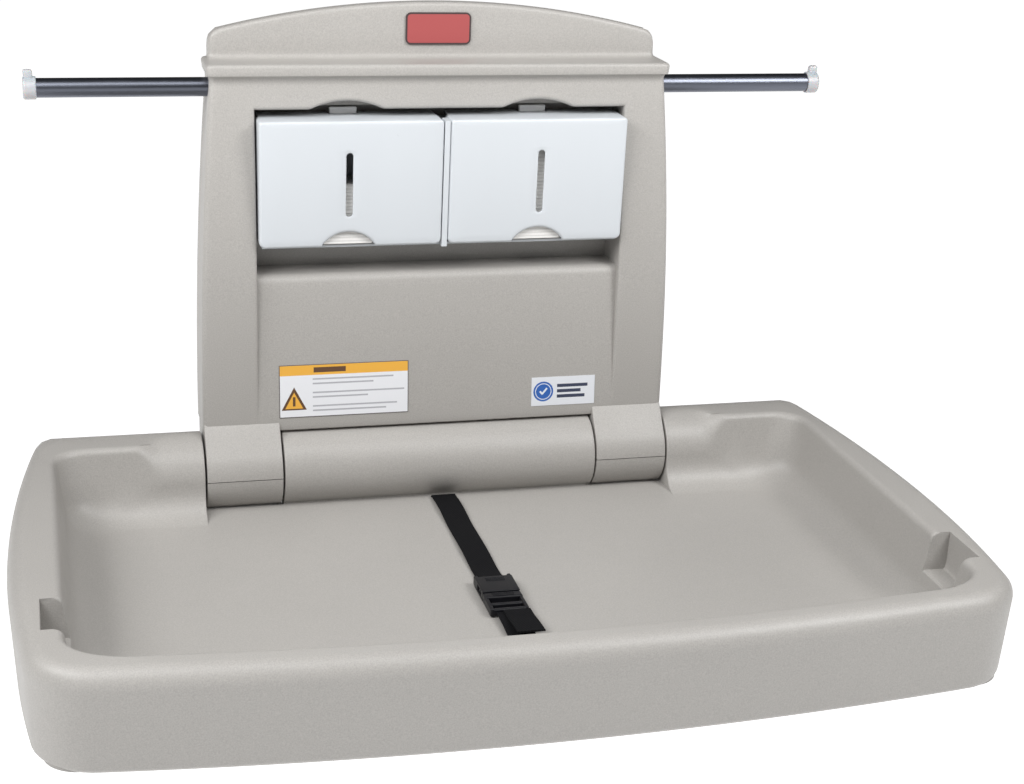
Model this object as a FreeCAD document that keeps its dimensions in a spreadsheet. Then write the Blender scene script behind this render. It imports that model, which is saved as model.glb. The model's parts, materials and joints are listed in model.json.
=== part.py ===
"""A wall-mounted baby changing station with a fold-down bed, built as separate pieces in millimetres.

The origin is the centre of the four wall-bolt holes, on the wall. +X is to the right seen from the
room, +Y goes into the wall and +Z is up. The bed is modelled folded down, ready for use.
"""

import FreeCAD, Part
import math
import os

import Sketcher
from FreeCAD import Placement, Rotation, Vector

SIZES = (
    # the bed, measured from the wall and down from its rim
    ("rim", -180, "height of the bed's rim plane"),
    ("fold_out", 49, "fold axis, out from the wall"),
    ("fold_drop", 39, "fold axis, below the rim"),
    ("roll", 38.5, "radius of the bed's rear roll and of the knuckles"),
    ("bed_half", 422.3, "half of the bed's greatest width"),
    ("bed_rear_half", 396, "half of the bed's width at its rear"),
    ("widest", 320, "where the bed is widest, out from the wall"),
    ("side_rear_bow", 1600, "radius of the sides behind the widest place"),
    ("side_front_bow", 1180, "radius of the sides in front of the widest place"),
    ("front_reach", 556, "front of the bed, out from the wall"),
    ("front_bow", 2983, "radius of the front in plan"),
    ("plan_corner", 38, "front corner radius in plan"),
    ("edge_round", 10, "rounding of the outer edges"),
    ("bed_thick", 88, "rim to base"),
    ("side_draft", 4.6, "how far the outer walls lean in at the base"),
    ("skin", 4, "moulded wall of the bed"),
    ("well_half", 378.5, "half width of the well at the rim"),
    ("well_rear", 80, "rear of the well, out from the wall"),
    ("well_front", 525, "front of the well, out from the wall"),
    ("well_deep", 72, "rim to floor"),
    ("well_taper", 9, "draft of the well's walls in degrees"),
    ("well_corner", 56, "front corner radius of the well"),
    ("well_corner_rear", 28, "rear corner radius of the well"),
    ("well_fillet", 20, "floor to wall radius"),
    ("rear_dip_half", 289, "half width of the dip in the rear rim"),
    ("base_sheet", 3, "thickness of the base cover"),
    ("notch_ahead", 17, "front wall of the knuckle notches, ahead of the fold axis"),
    ("pocket_deep", 42, "rim to the floor of the bar pockets"),
    ("pocket_ahead", 30, "bar pocket, ahead of where the bar lands"),
    ("pocket_behind", 25.5, "bar pocket, behind where the bar lands"),
    ("slot_long", 15, "half length of the strap slots"),
    ("slot_half", 2.2, "half width of the strap slots"),
    # knuckles and hinge
    ("knuckle_in", 161, "inner side of each knuckle"),
    ("knuckle_out", 235, "outer side of each knuckle"),
    ("knuckle_gap", 2, "running gap round each knuckle"),
    ("pin_radius", 6, "hinge pin"),
    ("pin_play", 0.05, "radial running clearance on the pin"),
    ("bush_radius", 8.5, "outside of the hinge bush"),
    ("ear_in", 147, "inner ear of each bed arm"),
    ("ear_out", 244, "outer ear of each bed arm"),
    ("ear_thick", 5, "thickness of the ears and arm plate"),
    # wall panel
    ("panel_low_half", 235.8, "half width of the panel at its foot"),
    ("panel_top_half", 223.3, "half width of the panel under the ledge"),
    ("panel_side_bow", 3940, "radius of the panel's sides"),
    ("panel_front", 60, "front of the panel's foot, out from the wall"),
    ("panel_top_front", 47.5, "front of the panel under the ledge"),
    ("panel_front_bow", 2520, "radius of the panel's front above its foot"),
    ("panel_wall", 3.2, "moulded wall of the panel"),
    ("ledge_low", 351, "underside of the ledge, above the rim"),
    ("ledge_high", 362, "top of the ledge, above the rim"),
    ("ledge_half", 225.8, "half width of the ledge"),
    ("ledge_front", 54, "front of the ledge, out from the wall"),
    ("crown_half", 220.5, "half width of the crown"),
    ("crown_front", 15, "front of the crown, out from the wall"),
    ("crown_high", 415, "top of the crown, above the rim"),
    ("crown_bow", 882, "radius of the crown's top"),
    ("niche_half", 181.5, "half width of the dispenser niche"),
    ("niche_low", 158, "sill of the niche, above the rim"),
    ("niche_high", 319, "head of the niche, above the rim"),
    ("niche_back", 12, "back of the niche, out from the wall"),
    ("inset_top", 8.5, "how far the lower face is set back under the sill"),
    ("scoop_at", 94, "centre of each finger scoop"),
    ("scoop_radius", 80.6, "radius of each finger scoop"),
    ("scoop_rise", 8, "height of each scoop above the niche"),
    # bar
    ("bar_high", 338.6, "axis of the bar, above the rim"),
    ("bar_out", 32, "axis of the bar, out from the wall"),
    ("bar_radius", 9, "outside of the bar"),
    ("bar_bore", 7.5, "inside of the bar"),
    ("bar_half", 386, "half length of the bar"),
    ("cap_half", 390, "end caps reach this far from the middle"),
    ("cap_radius", 10.6, "outside of the end caps"),
    # dispenser
    ("door_low", 189, "foot of the doors, above the rim"),
    ("door_high", 311.5, "top of the doors, above the rim"),
    ("door_foot_out", 65, "front of the doors' foot, out from the wall"),
    ("door_top_out", 70, "front of the doors' top, out from the wall"),
    ("door_half", 179.7, "outer edge of the doors"),
    ("mullion", 2.6, "half width of the strip between the doors"),
    ("door_sheet", 2.4, "moulded wall of the doors"),
    ("door_pin_high", 196, "door pins, above the rim"),
    ("door_pin_out", 58, "door pins, out from the wall"),
    ("door_pin_radius", 2, "door pins"),
    ("tab_half", 13.3, "half width of the latch tabs"),
    # fixings
    ("bolt_across", 406.4, "wall bolts, side to side"),
    ("bolt_up", 240, "wall bolts, up and down"),
    ("bolt_hole", 4.5, "radius of the wall-bolt holes"),
    ("frame_sheet", 3, "thickness of the steel frame"),
    ("cover_screw", 1.6, "radius of the screws in the base cover"),
    ("cover_head", 3.4, "radius of their heads"),
    ("cover_sink", 1.6, "depth of their countersinks"),
    ("arm_bolt", 2, "radius of the bolts in the bed's arms"),
    ("arm_head", 4.2, "radius of their heads"),
    ("arm_gap", 0.6, "gap between the arms and the floor above"),
    ("bracket_bolt", 3, "radius of the bolts in the hinge brackets"),
    ("bracket_head", 5.5, "radius of their heads"),
    ("bracket_sheet", 4, "thickness of the hinge brackets"),
    ("panel_screw", 2, "radius of the screws through the niche"),
    ("panel_head", 4.5, "radius of their heads"),
    # strap
    ("strap_at", 2, "middle of the strap, across the bed"),
    ("strap_wide", 25, "width of the webbing"),
    ("strap_thick", 1.6, "thickness of the webbing"),
    ("strap_rear", 77, "rear strap slot, out from the wall"),
    ("strap_front", 472, "front strap slot, out from the wall"),
    ("buckle_rear", 288, "rear end of the buckle, out from the wall"),
    ("buckle_half", 17.5, "half width of the buckle"),
    ("buckle_thick", 10, "thickness of the buckle"),
)

doc = FreeCAD.newDocument("changing_station")
sheet = doc.addObject("Spreadsheet::Sheet", "dims")


class Dim:
    """A length with the sheet expression that gives it, so that sums of sizes stay bound."""

    def __init__(self, value, text):
        self.value = float(value)
        self.text = text

    def __add__(self, other):
        other = dim(other)
        return Dim(self.value + other.value, f"({self.text} + {other.text})")

    def __sub__(self, other):
        other = dim(other)
        return Dim(self.value - other.value, f"({self.text} - {other.text})")

    def __mul__(self, other):
        other = dim(other)
        return Dim(self.value * other.value, f"({self.text} * {other.text})")

    def __truediv__(self, other):
        other = dim(other)
        return Dim(self.value / other.value, f"({self.text} / {other.text})")

    def __radd__(self, other):
        return dim(other) + self

    def __rsub__(self, other):
        return dim(other) - self

    def __rmul__(self, other):
        return dim(other) * self

    def __neg__(self):
        return Dim(-self.value, f"(0 - {self.text})")


def dim(value):
    """A Dim from a Dim or a plain number."""
    return value if isinstance(value, Dim) else Dim(value, repr(float(value)))


class Sizes:
    """The sheet's sizes by name."""


def fill_sheet():
    """Write every size into the sheet and return them by name."""
    sizes = Sizes()
    for row, (name, value, note) in enumerate(SIZES, start=1):
        sheet.set(f"A{row}", note)
        sheet.set(f"B{row}", str(value))
        sheet.setAlias(f"B{row}", name)
        setattr(sizes, name, Dim(value, f"dims.{name}"))
    doc.recompute()
    return sizes


S = fill_sheet()
HINGE_Y = -S.fold_out
HINGE_Z = S.rim - S.fold_drop
FLOOR = S.rim - S.well_deep
BASE = S.rim - S.bed_thick
FAR = 20  # how far a cutting tool overshoots


def bind(thing, prop, value):
    """Set a property to a Dim through its expression."""
    value = dim(value)
    thing.setExpression(prop, value.text)


def place(thing, x, y, z):
    """Bind an object's position."""
    for axis, value in zip("xyz", (x, y, z)):
        bind(thing, f"Placement.Base.{axis}", value)


def box(name, x, y, z):
    """A block from three (low, high) pairs."""
    block = doc.addObject("Part::Box", name)
    for prop, (low, high) in zip(("Length", "Width", "Height"), (x, y, z)):
        bind(block, prop, dim(high) - low)
    place(block, x[0], y[0], z[0])
    return block


TURNS = {
    "x": Rotation(Vector(0, 1, 0), 90),
    "y": Rotation(Vector(1, 0, 0), -90),
    "z": Rotation(),
}


def rod(name, axis, radius, x, y, z):
    """A cylinder along an axis, whose own coordinate is given as a (low, high) pair."""
    cylinder = doc.addObject("Part::Cylinder", name)
    cylinder.Placement = Placement(Vector(), TURNS[axis])
    low, high = {"x": x, "y": y, "z": z}[axis]
    bind(cylinder, "Radius", radius)
    bind(cylinder, "Height", dim(high) - low)
    start = [low if along == axis else at for along, at in zip("xyz", (x, y, z))]
    place(cylinder, *start)
    return cylinder


def fuse(name, *shapes):
    """The union of several objects."""
    whole = doc.addObject("Part::MultiFuse", name)
    whole.Shapes = list(shapes)
    return whole


def cut(name, base, *tools):
    """A base with tools taken away."""
    result = doc.addObject("Part::Cut", name)
    result.Base = base
    result.Tool = tools[0] if len(tools) == 1 else fuse(name + "_tools", *tools)
    return result


def common(name, *shapes):
    """What several objects share."""
    shared = doc.addObject("Part::MultiCommon", name)
    shared.Shapes = list(shapes)
    return shared


def mirror(name, source):
    """The left-hand twin of a right-hand piece."""
    twin = doc.addObject("Part::Mirroring", name)
    twin.Source = source
    twin.Normal = Vector(1, 0, 0)
    return twin


def group(name, *shapes):
    """Several separate solids kept as one piece."""
    bundle = doc.addObject("Part::Compound", name)
    bundle.Links = list(shapes)
    return bundle


def rounded(name, base, radius, chosen):
    """A base with the edges that a test picks rounded."""
    doc.recompute()
    fillet = doc.addObject("Part::Fillet", name)
    fillet.Base = base
    picked = [n for n, edge in enumerate(base.Shape.Edges, start=1) if chosen(edge)]
    size = dim(radius).value
    fillet.Edges = [(n, size, size) for n in picked]
    return fillet


def arc_between(start, end, radius):
    """The minor arc from start to end; a positive radius turns left, a negative one right."""
    chord = end.sub(start)
    middle = start.add(end).multiply(0.5)
    reach = math.sqrt(radius * radius - (chord.Length / 2) ** 2)
    left = Vector(-chord.y, chord.x, 0).normalize()
    centre = middle.add(left.multiply(reach if radius > 0 else -reach))
    first, last = (start, end) if radius > 0 else (end, start)
    angles = [math.atan2(p.y - centre.y, p.x - centre.x) for p in (first, last)]
    return Part.ArcOfCircle(Part.Circle(centre, Vector(0, 0, 1), abs(radius)), *angles)


def outline(sketch, corners):
    """Draw a closed outline through corners (u, v) or (u, v, radius of the arc to the next)."""
    spots = [Vector(dim(c[0]).value, dim(c[1]).value, 0) for c in corners]
    ends = []
    for n, corner in enumerate(corners):
        start, end = spots[n], spots[(n + 1) % len(spots)]
        if len(corner) == 2:
            ends.append((sketch.addGeometry(Part.LineSegment(start, end), False), 1, 2))
            continue
        radius = dim(corner[2])
        edge = sketch.addGeometry(arc_between(start, end, radius.value), False)
        ends.append((edge, 1, 2) if radius.value > 0 else (edge, 2, 1))
        held = sketch.addConstraint(Sketcher.Constraint("Radius", edge, abs(radius.value)))
        size = radius if radius.value > 0 else -radius
        sketch.setExpression(f"Constraints[{held}]", size.text)
    for n, corner in enumerate(corners):
        edge, first, last = ends[n]
        follower, begin, _ = ends[(n + 1) % len(ends)]
        sketch.addConstraint(Sketcher.Constraint("Coincident", edge, last, follower, begin))
        for kind, value in zip(("DistanceX", "DistanceY"), corner):
            value = dim(value)
            held = sketch.addConstraint(Sketcher.Constraint(kind, -1, 1, edge, first, value.value))
            sketch.setExpression(f"Constraints[{held}]", value.text)


def slab(name, plane, low, high, corners, taper=0):
    """A PartDesign body padded from an outline, between two places along the plane's normal.

    XY slabs run along +Z, YZ slabs along +X and XZ slabs along -Y, so an XZ slab's low and
    high count out from the wall. A negative taper narrows the slab away from its low face.
    """
    body = doc.addObject("PartDesign::Body", name)
    origin = next(f for f in body.Origin.OriginFeatures if f.Role == plane + "_Plane")
    sketch = body.newObject("Sketcher::SketchObject", name + "_outline")
    sketch.AttachmentSupport = (origin, [""])
    sketch.MapMode = "FlatFace"
    sketch.setExpression("AttachmentOffset.Base.z", dim(low).text)
    outline(sketch, corners)
    pad = body.newObject("PartDesign::Pad", name + "_pad")
    pad.Profile = sketch
    span = dim(high) - low
    pad.Reversed = span.value < 0
    bind(pad, "Length", span if span.value > 0 else -span)
    if dim(taper).value:
        bind(pad, "TaperAngle", taper)
    return body


def drafted(name, high, low, top_corners, low_corners):
    """A ruled loft between two level outlines, for a block whose curved sides are drafted."""
    ends = []
    for n, (level, corners) in enumerate(((high, top_corners), (low, low_corners))):
        sketch = doc.addObject("Sketcher::SketchObject", f"{name}_outline_{n}")
        bind(sketch, "Placement.Base.z", level)
        outline(sketch, corners)
        ends.append(sketch)
    block = doc.addObject("Part::Loft", name)
    block.Sections = ends
    block.Solid = True
    block.Ruled = True
    return block


def ribbon(name, x, points, thick):
    """Flat webbing: a band of even thickness along points (y, z), straight across in X."""
    half = thick.value / 2
    path = [Vector(0, dim(y).value, dim(z).value) for y, z in points]
    sides = ([], [])
    for n, spot in enumerate(path):
        ahead = path[min(n + 1, len(path) - 1)].sub(path[max(n - 1, 0)]).normalize()
        normal = Vector(0, -ahead.z, ahead.y)
        sides[0].append(spot.add(normal * half))
        sides[1].append(spot.sub(normal * half))
    loop = sides[0] + sides[1][::-1]
    face = Part.Face(Part.makePolygon(loop + loop[:1]))
    low, high = (dim(value).value for value in x)
    band = doc.addObject("Part::Feature", name)
    band.Shape = face.extrude(Vector(high - low, 0, 0))
    band.Placement = Placement(Vector(low, 0, 0), Rotation())
    return band


# ---------------------------------------------------------------- the bed

def side_half(y, inset):
    """Half width of the bed at y, between its two side arcs, less an inset."""
    past = y + S.widest.value
    inset = dim(inset).value
    bow = S.side_rear_bow.value if past > 0 else S.side_front_bow.value
    return S.bed_half.value - bow + math.sqrt(bow * bow - past * past) - inset


def front_corner(inset):
    """Where the side and front arcs meet, found by stepping from one to the other."""
    inset = dim(inset).value
    bow = S.front_bow.value - inset
    y = -S.front_reach.value
    for _ in range(20):
        x = side_half(y, inset)
        y = -S.front_reach.value + inset + bow - math.sqrt(bow * bow - x * x)
    return x, y


def bed_plan(inset):
    """The bed's outline from above, counter-clockwise, drawn in by an inset."""
    x, y = front_corner(inset)
    rear = -(S.fold_out - S.roll) - inset
    half = S.bed_half - inset
    back = S.bed_rear_half - inset
    ahead = S.side_front_bow - inset
    behind = S.side_rear_bow - inset
    return [
        (back, rear),
        (-back, rear, behind),
        (-half, -S.widest, ahead),
        (-x, y, S.front_bow - inset),
        (x, y, ahead),
        (half, -S.widest, behind),
    ]


def rear_profile(radius, low, high):
    """The bed seen from its end: the roll about the fold axis, then the space in front of it."""
    front = -S.front_reach - FAR
    heel = HINGE_Z - 16
    return [
        (front, low),
        (HINGE_Y + 20, low),
        (HINGE_Y + radius, heel),
        (HINGE_Y + radius, HINGE_Z, radius),
        (HINGE_Y, HINGE_Z + radius),
        (HINGE_Y - 2, high),
        (front, high),
    ]


def upright(edge):
    """True for an edge that runs mostly up and down."""
    ends = [v.Point for v in edge.Vertexes]
    if len(ends) < 2:
        return False
    run = ends[1].sub(ends[0])
    return abs(run.z) > 0.9 * run.Length


def well(name, grow, fillet):
    """The hollow that the child lies in, as a solid, grown by a wall thickness."""
    half = S.well_half + grow
    rear = -S.well_rear + grow
    front = -S.well_front - grow
    corners = [(half, rear), (-half, rear), (-half, front), (half, front)]
    depth = -S.well_deep - grow
    block = slab(name + "_block", "XY", S.rim, S.rim + depth, corners, -S.well_taper)
    middle = (rear.value + front.value) / 2
    soft_front = rounded(
        name + "_front", block, S.well_corner,
        lambda e: upright(e) and e.CenterOfMass.y < middle,
    )
    soft_rear = rounded(
        name + "_rear", soft_front, S.well_corner_rear,
        lambda e: upright(e) and e.CenterOfMass.y > middle and abs(e.CenterOfMass.x) > 300,
    )
    bottom = (S.rim + depth).value
    hollow = rounded(name, soft_rear, fillet, lambda e: abs(e.BoundBox.ZMax - bottom) < 0.1)
    return fuse(name + "_tool", hollow, mouth(name + "_mouth", half, rear, front))


def mouth(name, half, rear, front):
    """A thin block that opens the well upwards, inside its corners."""
    edge = S.well_corner + 4
    return box(name, (-half + edge, half - edge), (front + edge, rear - edge), (S.rim - 5, S.rim + FAR))


def rear_dip(name, half, radius, floor):
    """The space over the roll, between the rear rims, as a solid."""
    foot_y = HINGE_Y - radius * math.cos(math.radians(60))
    foot_z = HINGE_Z - radius * math.sin(math.radians(60))
    profile = [
        (HINGE_Y, HINGE_Z + radius, radius),
        (HINGE_Y - radius, HINGE_Z, radius),
        (foot_y, foot_z),
        (foot_y - 1, floor),
        (-S.well_rear - 25, floor),
        (-S.well_rear - 25, S.rim + FAR),
        (HINGE_Y, S.rim + FAR),
    ]
    return slab(name, "YZ", -half, half, profile)


def knuckle_notch(grow, name):
    """The gap in the bed's rear for the right knuckle."""
    x = (S.knuckle_in - S.knuckle_gap - grow, S.knuckle_out + S.knuckle_gap + grow)
    block = box(name + "_block", x, (HINGE_Y - S.notch_ahead - grow, FAR), (BASE - FAR, S.rim + FAR))
    if grow:
        return block
    drum = rod(name + "_drum", "x", S.roll + S.knuckle_gap, x, HINGE_Y, HINGE_Z)
    return fuse(name, block, drum)


def bar_notch(grow, top, name):
    """The pocket in the right rim that the bar's end drops into when the bed is folded up."""
    middle = -S.fold_out - (S.bar_high + S.fold_drop)
    y = (middle - S.pocket_ahead - grow, middle + S.pocket_behind + grow)
    x = (S.well_half - 22, S.cap_half + 5 + grow)
    return box(name, x, y, (S.rim - S.pocket_deep - grow, top))


BOSSES = [(x, y) for y in (-150, -300, -450) for x in (-330, -60, 60, 330)]
ARM_BOLTS = [(x, y) for y in (-110, -210, -310, -410) for x in (170, 226)]


def bed_tray():
    """The visible moulding: rim, outer walls, well, rear roll and the shell under them."""
    plan = drafted("tray_plan", S.rim, BASE, bed_plan(0), bed_plan(S.side_draft))
    blank = common("tray_blank", plan, slab(
        "tray_end", "YZ", -S.bed_half - FAR, S.bed_half + FAR,
        rear_profile(S.roll, BASE, S.rim)))
    corner = front_corner(0)[1]
    soft = rounded(
        "tray_corners", blank, S.plan_corner,
        lambda e: upright(e) and e.CenterOfMass.y < corner + 25)
    outer = rounded("tray_outer", soft, S.edge_round, rim_edge)
    wells = fuse(
        "tray_wells", well("well", dim(0), S.well_fillet),
        rear_dip("dip", S.rear_dip_half, S.roll, FLOOR))
    notch = knuckle_notch(0, "notch")
    pocket = bar_notch(0, S.rim + FAR, "bar_pocket")
    x = (S.strap_at - S.slot_long, S.strap_at + S.slot_long)
    slots = [
        box(f"strap_slot_{n}", x, (-at - S.slot_half, -at + S.slot_half), (FLOOR - 8, FLOOR + 1))
        for n, at in enumerate((S.strap_rear, S.strap_front))
    ]
    pin_way = rod("pin_way", "x", S.bush_radius + 1, (S.ear_in - 8, S.ear_out + 16), HINGE_Y, HINGE_Z)
    pilots = [
        rod(f"pilot_{n}", "z", S.cover_screw, x, y, (BASE - 1, FLOOR - 6))
        for n, (x, y) in enumerate(BOSSES)
    ]
    holes = [
        rod(f"arm_hole_{n}", "z", S.arm_bolt, side * x, y, (FLOOR - S.skin - 1, FLOOR - S.skin + 2))
        for n, (x, y) in enumerate(ARM_BOLTS) for side in (-1, 1)
    ]
    return cut(
        "bed_tray", outer, wells, notch, mirror("notch_left", notch), pocket,
        mirror("bar_pocket_left", pocket), *slots, pin_way, mirror("pin_way_left", pin_way),
        under_space(), *pilots, *holes)


def rim_edge(edge):
    """True for the outer edges round the rim's front and sides and along the base."""
    spot = edge.CenterOfMass
    level = edge.BoundBox.ZLength < 0.5
    outer = abs(spot.x) > S.bed_rear_half.value - 5 or spot.y < -S.well_front.value
    return level and outer and spot.y < HINGE_Y.value - 30


def under_space():
    """The hollow under the tray, inside its skin, as a solid."""
    top = S.rim - S.skin - 1
    inset = S.skin + 0.5
    plan = drafted("under_plan", top, BASE - 1, bed_plan(inset), bed_plan(inset + S.side_draft))
    soft = rounded(
        "under_corners", plan, S.plan_corner - S.skin,
        lambda e: upright(e) and e.CenterOfMass.y < front_corner(5)[1] + 25)
    radius = S.roll - S.skin
    blank = common("under_blank", soft, slab(
        "under_end", "YZ", -S.bed_half, S.bed_half, rear_profile(radius, BASE - FAR, S.rim)))
    walls = knuckle_notch(4.5, "notch_walls")
    pocket = bar_notch(S.skin, S.rim - 1, "pocket_walls")
    bosses = [
        rod(f"boss_{n}", "z", 6, x, y, (BASE + S.base_sheet, FLOOR)) for n, (x, y) in enumerate(BOSSES)
    ]
    return cut(
        "under_space", blank, well("well_walls", S.skin, S.well_fillet + S.skin),
        rear_dip("dip_walls", S.rear_dip_half + S.skin, radius, FLOOR - S.skin),
        walls, mirror("notch_walls_left", walls), pocket,
        mirror("pocket_walls_left", pocket), *bosses)


def bed_base():
    """The flat cover that closes the bed underneath, with stiffening ribs."""
    top = BASE + S.base_sheet
    plate = slab("base_plan", "XY", BASE, top, bed_plan(S.skin + 7))
    soft = rounded("base_corners", plate, S.plan_corner - 8, lambda e: upright(e) and e.CenterOfMass.y < -450)
    rear = box("base_rear", (-S.bed_half, S.bed_half), (HINGE_Y + 14, FAR), (BASE - 1, top + 1))
    x = (S.knuckle_in - 7, S.knuckle_out + 7)
    notch = box("base_notch", x, (HINGE_Y - 22, FAR), (BASE - 1, top + 1))
    holes = [
        rod(f"base_hole_{n}", "z", S.cover_screw, x, y, (BASE - 1, top + 1)) for n, (x, y) in enumerate(BOSSES)
    ]
    sinks = [
        rod(f"base_sink_{n}", "z", S.cover_head, x, y, (BASE - 1, BASE + S.cover_sink))
        for n, (x, y) in enumerate(BOSSES)
    ]
    ribs = [
        box(f"rib_{n}", (x - 1.5, x + 1.5), (-480, -120), (BASE + 2, FLOOR - S.skin - 0.5))
        for n, x in enumerate((-300, -100, 100, 300))
    ]
    whole = fuse("base_blank", soft, *ribs)
    return cut("bed_base", whole, rear, notch, mirror("base_notch_left", notch), *holes, *sinks)


def base_screws():
    """Twelve countersunk screws that hold the base cover to the tray."""
    screws = []
    for n, (x, y) in enumerate(BOSSES):
        head = rod(f"screw_head_{n}", "z", S.cover_head, x, y, (BASE + 0.2, BASE + S.cover_sink))
        shank = rod(f"screw_shank_{n}", "z", S.cover_screw, x, y, (BASE + 1, FLOOR - 7))
        screws.append(fuse(f"base_screw_{n}", head, shank))
    return group("base_screws", *screws)


def bed_arm():
    """The right steel arm: a plate bolted under the floor and two ears on the hinge pin."""
    plate_top = FLOOR - S.skin - S.arm_gap
    plate_low = plate_top - S.ear_thick
    outer = S.ear_out + S.ear_thick
    plate = box("arm_plate", (S.ear_in, outer), (-430, HINGE_Y - 23), (plate_low, plate_top))
    parts = [plate]
    for n, x in enumerate((S.ear_in, S.ear_out)):
        profile = [
            (HINGE_Y - 60, plate_low),
            (HINGE_Y + 9, plate_low),
            (HINGE_Y + 15, HINGE_Z),
            (HINGE_Y, HINGE_Z + 15),
            (HINGE_Y - 15, HINGE_Z),
            (HINGE_Y - 14, plate_top),
            (HINGE_Y - 60, plate_top),
        ]
        profile[2] += (dim(15),)
        profile[3] += (dim(15),)
        parts.append(slab(f"arm_ear_{n}", "YZ", x, x + S.ear_thick, profile))
    bore = rod("arm_bore", "x", S.pin_radius, (S.ear_in - 1, outer + 1), HINGE_Y, HINGE_Z)
    holes = [
        rod(f"arm_bolt_hole_{n}", "z", S.arm_bolt, x, y, (plate_low - 1, plate_top + 1))
        for n, (x, y) in enumerate(ARM_BOLTS)
    ]
    return cut("bed_arm_right", fuse("arm_blank", *parts), bore, *holes)


def arm_bolts():
    """Sixteen bolts that hold the steel arms up against the floor of the tray."""
    bolts = []
    seat = FLOOR - S.skin - S.arm_gap - S.ear_thick
    for n, (x, y) in enumerate(ARM_BOLTS):
        for side in (-1, 1):
            label = f"{n}_{'left' if side < 0 else 'right'}"
            head = rod(f"bolt_head_{label}", "z", S.arm_head, side * x, y, (seat - 2.6, seat))
            shank = rod(
                f"bolt_shank_{label}", "z", S.arm_bolt, side * x, y, (seat - 1, FLOOR - S.skin + 1.5))
            bolts.append(fuse(f"arm_bolt_{label}", head, shank))
    return group("arm_bolts", *bolts)


def hinge_pin():
    """The right hinge pin, headed at its outer end and keyed to the arm's ears."""
    outer = S.ear_out + S.ear_thick
    shank = rod("pin_shank", "x", S.pin_radius, (S.ear_in - 2, outer + 2.5), HINGE_Y, HINGE_Z)
    head = rod("pin_head", "x", S.pin_radius + 2.5, (outer + 0.1, outer + 2.5), HINGE_Y, HINGE_Z)
    return fuse("hinge_pin_right", shank, head)


def strap_pieces():
    """The webbing: the rear length, the front length and the loose tail."""
    x = (S.strap_at - S.strap_wide / 2, S.strap_at + S.strap_wide / 2)
    lie = FLOOR + 1.1
    rear = ribbon("strap_rear", x, [
        (-S.strap_rear, FLOOR - 7), (-S.strap_rear, FLOOR - 2), (-S.strap_rear - 0.6, FLOOR + 0.2),
        (-S.strap_rear - 2.5, FLOOR + 1.6), (-S.strap_rear - 6, lie + 1), (-S.strap_rear - 40, lie + 2.6),
        (-S.strap_rear - 80, lie + 0.8), (-S.strap_rear - 140, lie + 2), (-S.strap_rear - 180, lie + 0.6),
        (-S.buckle_rear + 12, lie + 1.4), (-S.buckle_rear + 4, lie + 3.4),
        (-S.buckle_rear - 4, lie + 3.6)], S.strap_thick)
    front_end = -S.buckle_rear - 67.5
    front = ribbon("strap_front", x, [
        (front_end, lie + 3.6), (front_end - 20, lie + 3.6), (front_end - 44, lie + 2),
        (-S.strap_front + 40, lie + 1), (-S.strap_front + 12, lie + 2.4),
        (-S.strap_front + 5, lie + 2.2), (-S.strap_front + 1, FLOOR + 1.2),
        (-S.strap_front, FLOOR - 1), (-S.strap_front, FLOOR - 7)], S.strap_thick)
    tail_x = (x[0] + 6, x[1] + 6)
    tail = ribbon("strap_tail", tail_x, [
        (front_end - 1.6, lie + 5.6), (front_end - 18, lie + 6.4), (front_end - 34, lie + 8.2),
        (front_end - 52, lie + 9.6)], S.strap_thick)
    return rear, front, tail


def strap_anchor(name, out):
    """A slotted plate under the floor that keeps the end of the webbing from pulling through."""
    x = (S.strap_at - 22, S.strap_at + 22)
    top = FLOOR - S.skin - 0.2
    plate = box(name + "_plate", x, (-out - 9, -out + 9), (top - 2.4, top))
    reach = S.strap_wide / 2 + 0.6
    slot = box(
        name + "_slot", (S.strap_at - reach, S.strap_at + reach),
        (-out - 1.1, -out + 1.1), (top - 4, top + 1))
    return cut(name, plate, slot)


def buckle_socket():
    """The half of the side-release buckle that takes the prongs."""
    low = FLOOR + 0.5
    rear = -S.buckle_rear
    front = rear - 36
    x = (S.strap_at - S.buckle_half, S.strap_at + S.buckle_half)
    block = rounded(
        "socket_block", box("socket_box", x, (front, rear), (low, low + S.buckle_thick)), dim(2.5),
        lambda e: e.BoundBox.YLength > 20)
    bar_slot = box(
        "socket_bar_slot", (S.strap_at - 13.2, S.strap_at + 13.2), (rear - 5, rear + 1),
        (low + 2, low + 6.8))
    way = box(
        "socket_way", (S.strap_at - 14, S.strap_at + 14), (front - 1, rear - 8),
        (low + 2.4, low + 7.6))
    windows = box(
        "socket_windows", (S.strap_at - 30, S.strap_at + 30), (front + 8, front + 20),
        (low + 2.4, low + 7.6))
    return cut("buckle_socket", block, bar_slot, way, windows)


def buckle_clip():
    """The half of the buckle with the three prongs and the bars that hold the webbing."""
    low = FLOOR + 0.5
    rear = -S.buckle_rear - 36.6
    front = rear - 32
    x = (S.strap_at - S.buckle_half, S.strap_at + S.buckle_half)
    block = rounded(
        "clip_block", box("clip_box", x, (front, rear), (low, low + S.buckle_thick - 1)), dim(2.5),
        lambda e: e.BoundBox.YLength > 20)
    slots = [
        box(f"clip_slot_{n}", (S.strap_at - 13.2, S.strap_at + 13.2), y, (low - 1, low + 12))
        for n, y in enumerate(((front + 5, front + 9.5), (front + 13.5, front + 18)))
    ]
    mouth_slot = box(
        "clip_mouth", (S.strap_at - 13.2, S.strap_at + 13.2), (front - 1, front + 20),
        (low + 1.4, low + 7.2))
    prongs = [
        box(f"prong_{n}", (S.strap_at + a, S.strap_at + b), (rear - 1, rear + reach), (low + 3.2, low + 6.8))
        for n, (a, b, reach) in enumerate(((-13, -9, 22), (9, 13, 22), (-2.5, 2.5, 25)))
    ]
    body = cut("clip_body", block, *slots, mouth_slot)
    return fuse("buckle_clip", body, *prongs)


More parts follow.
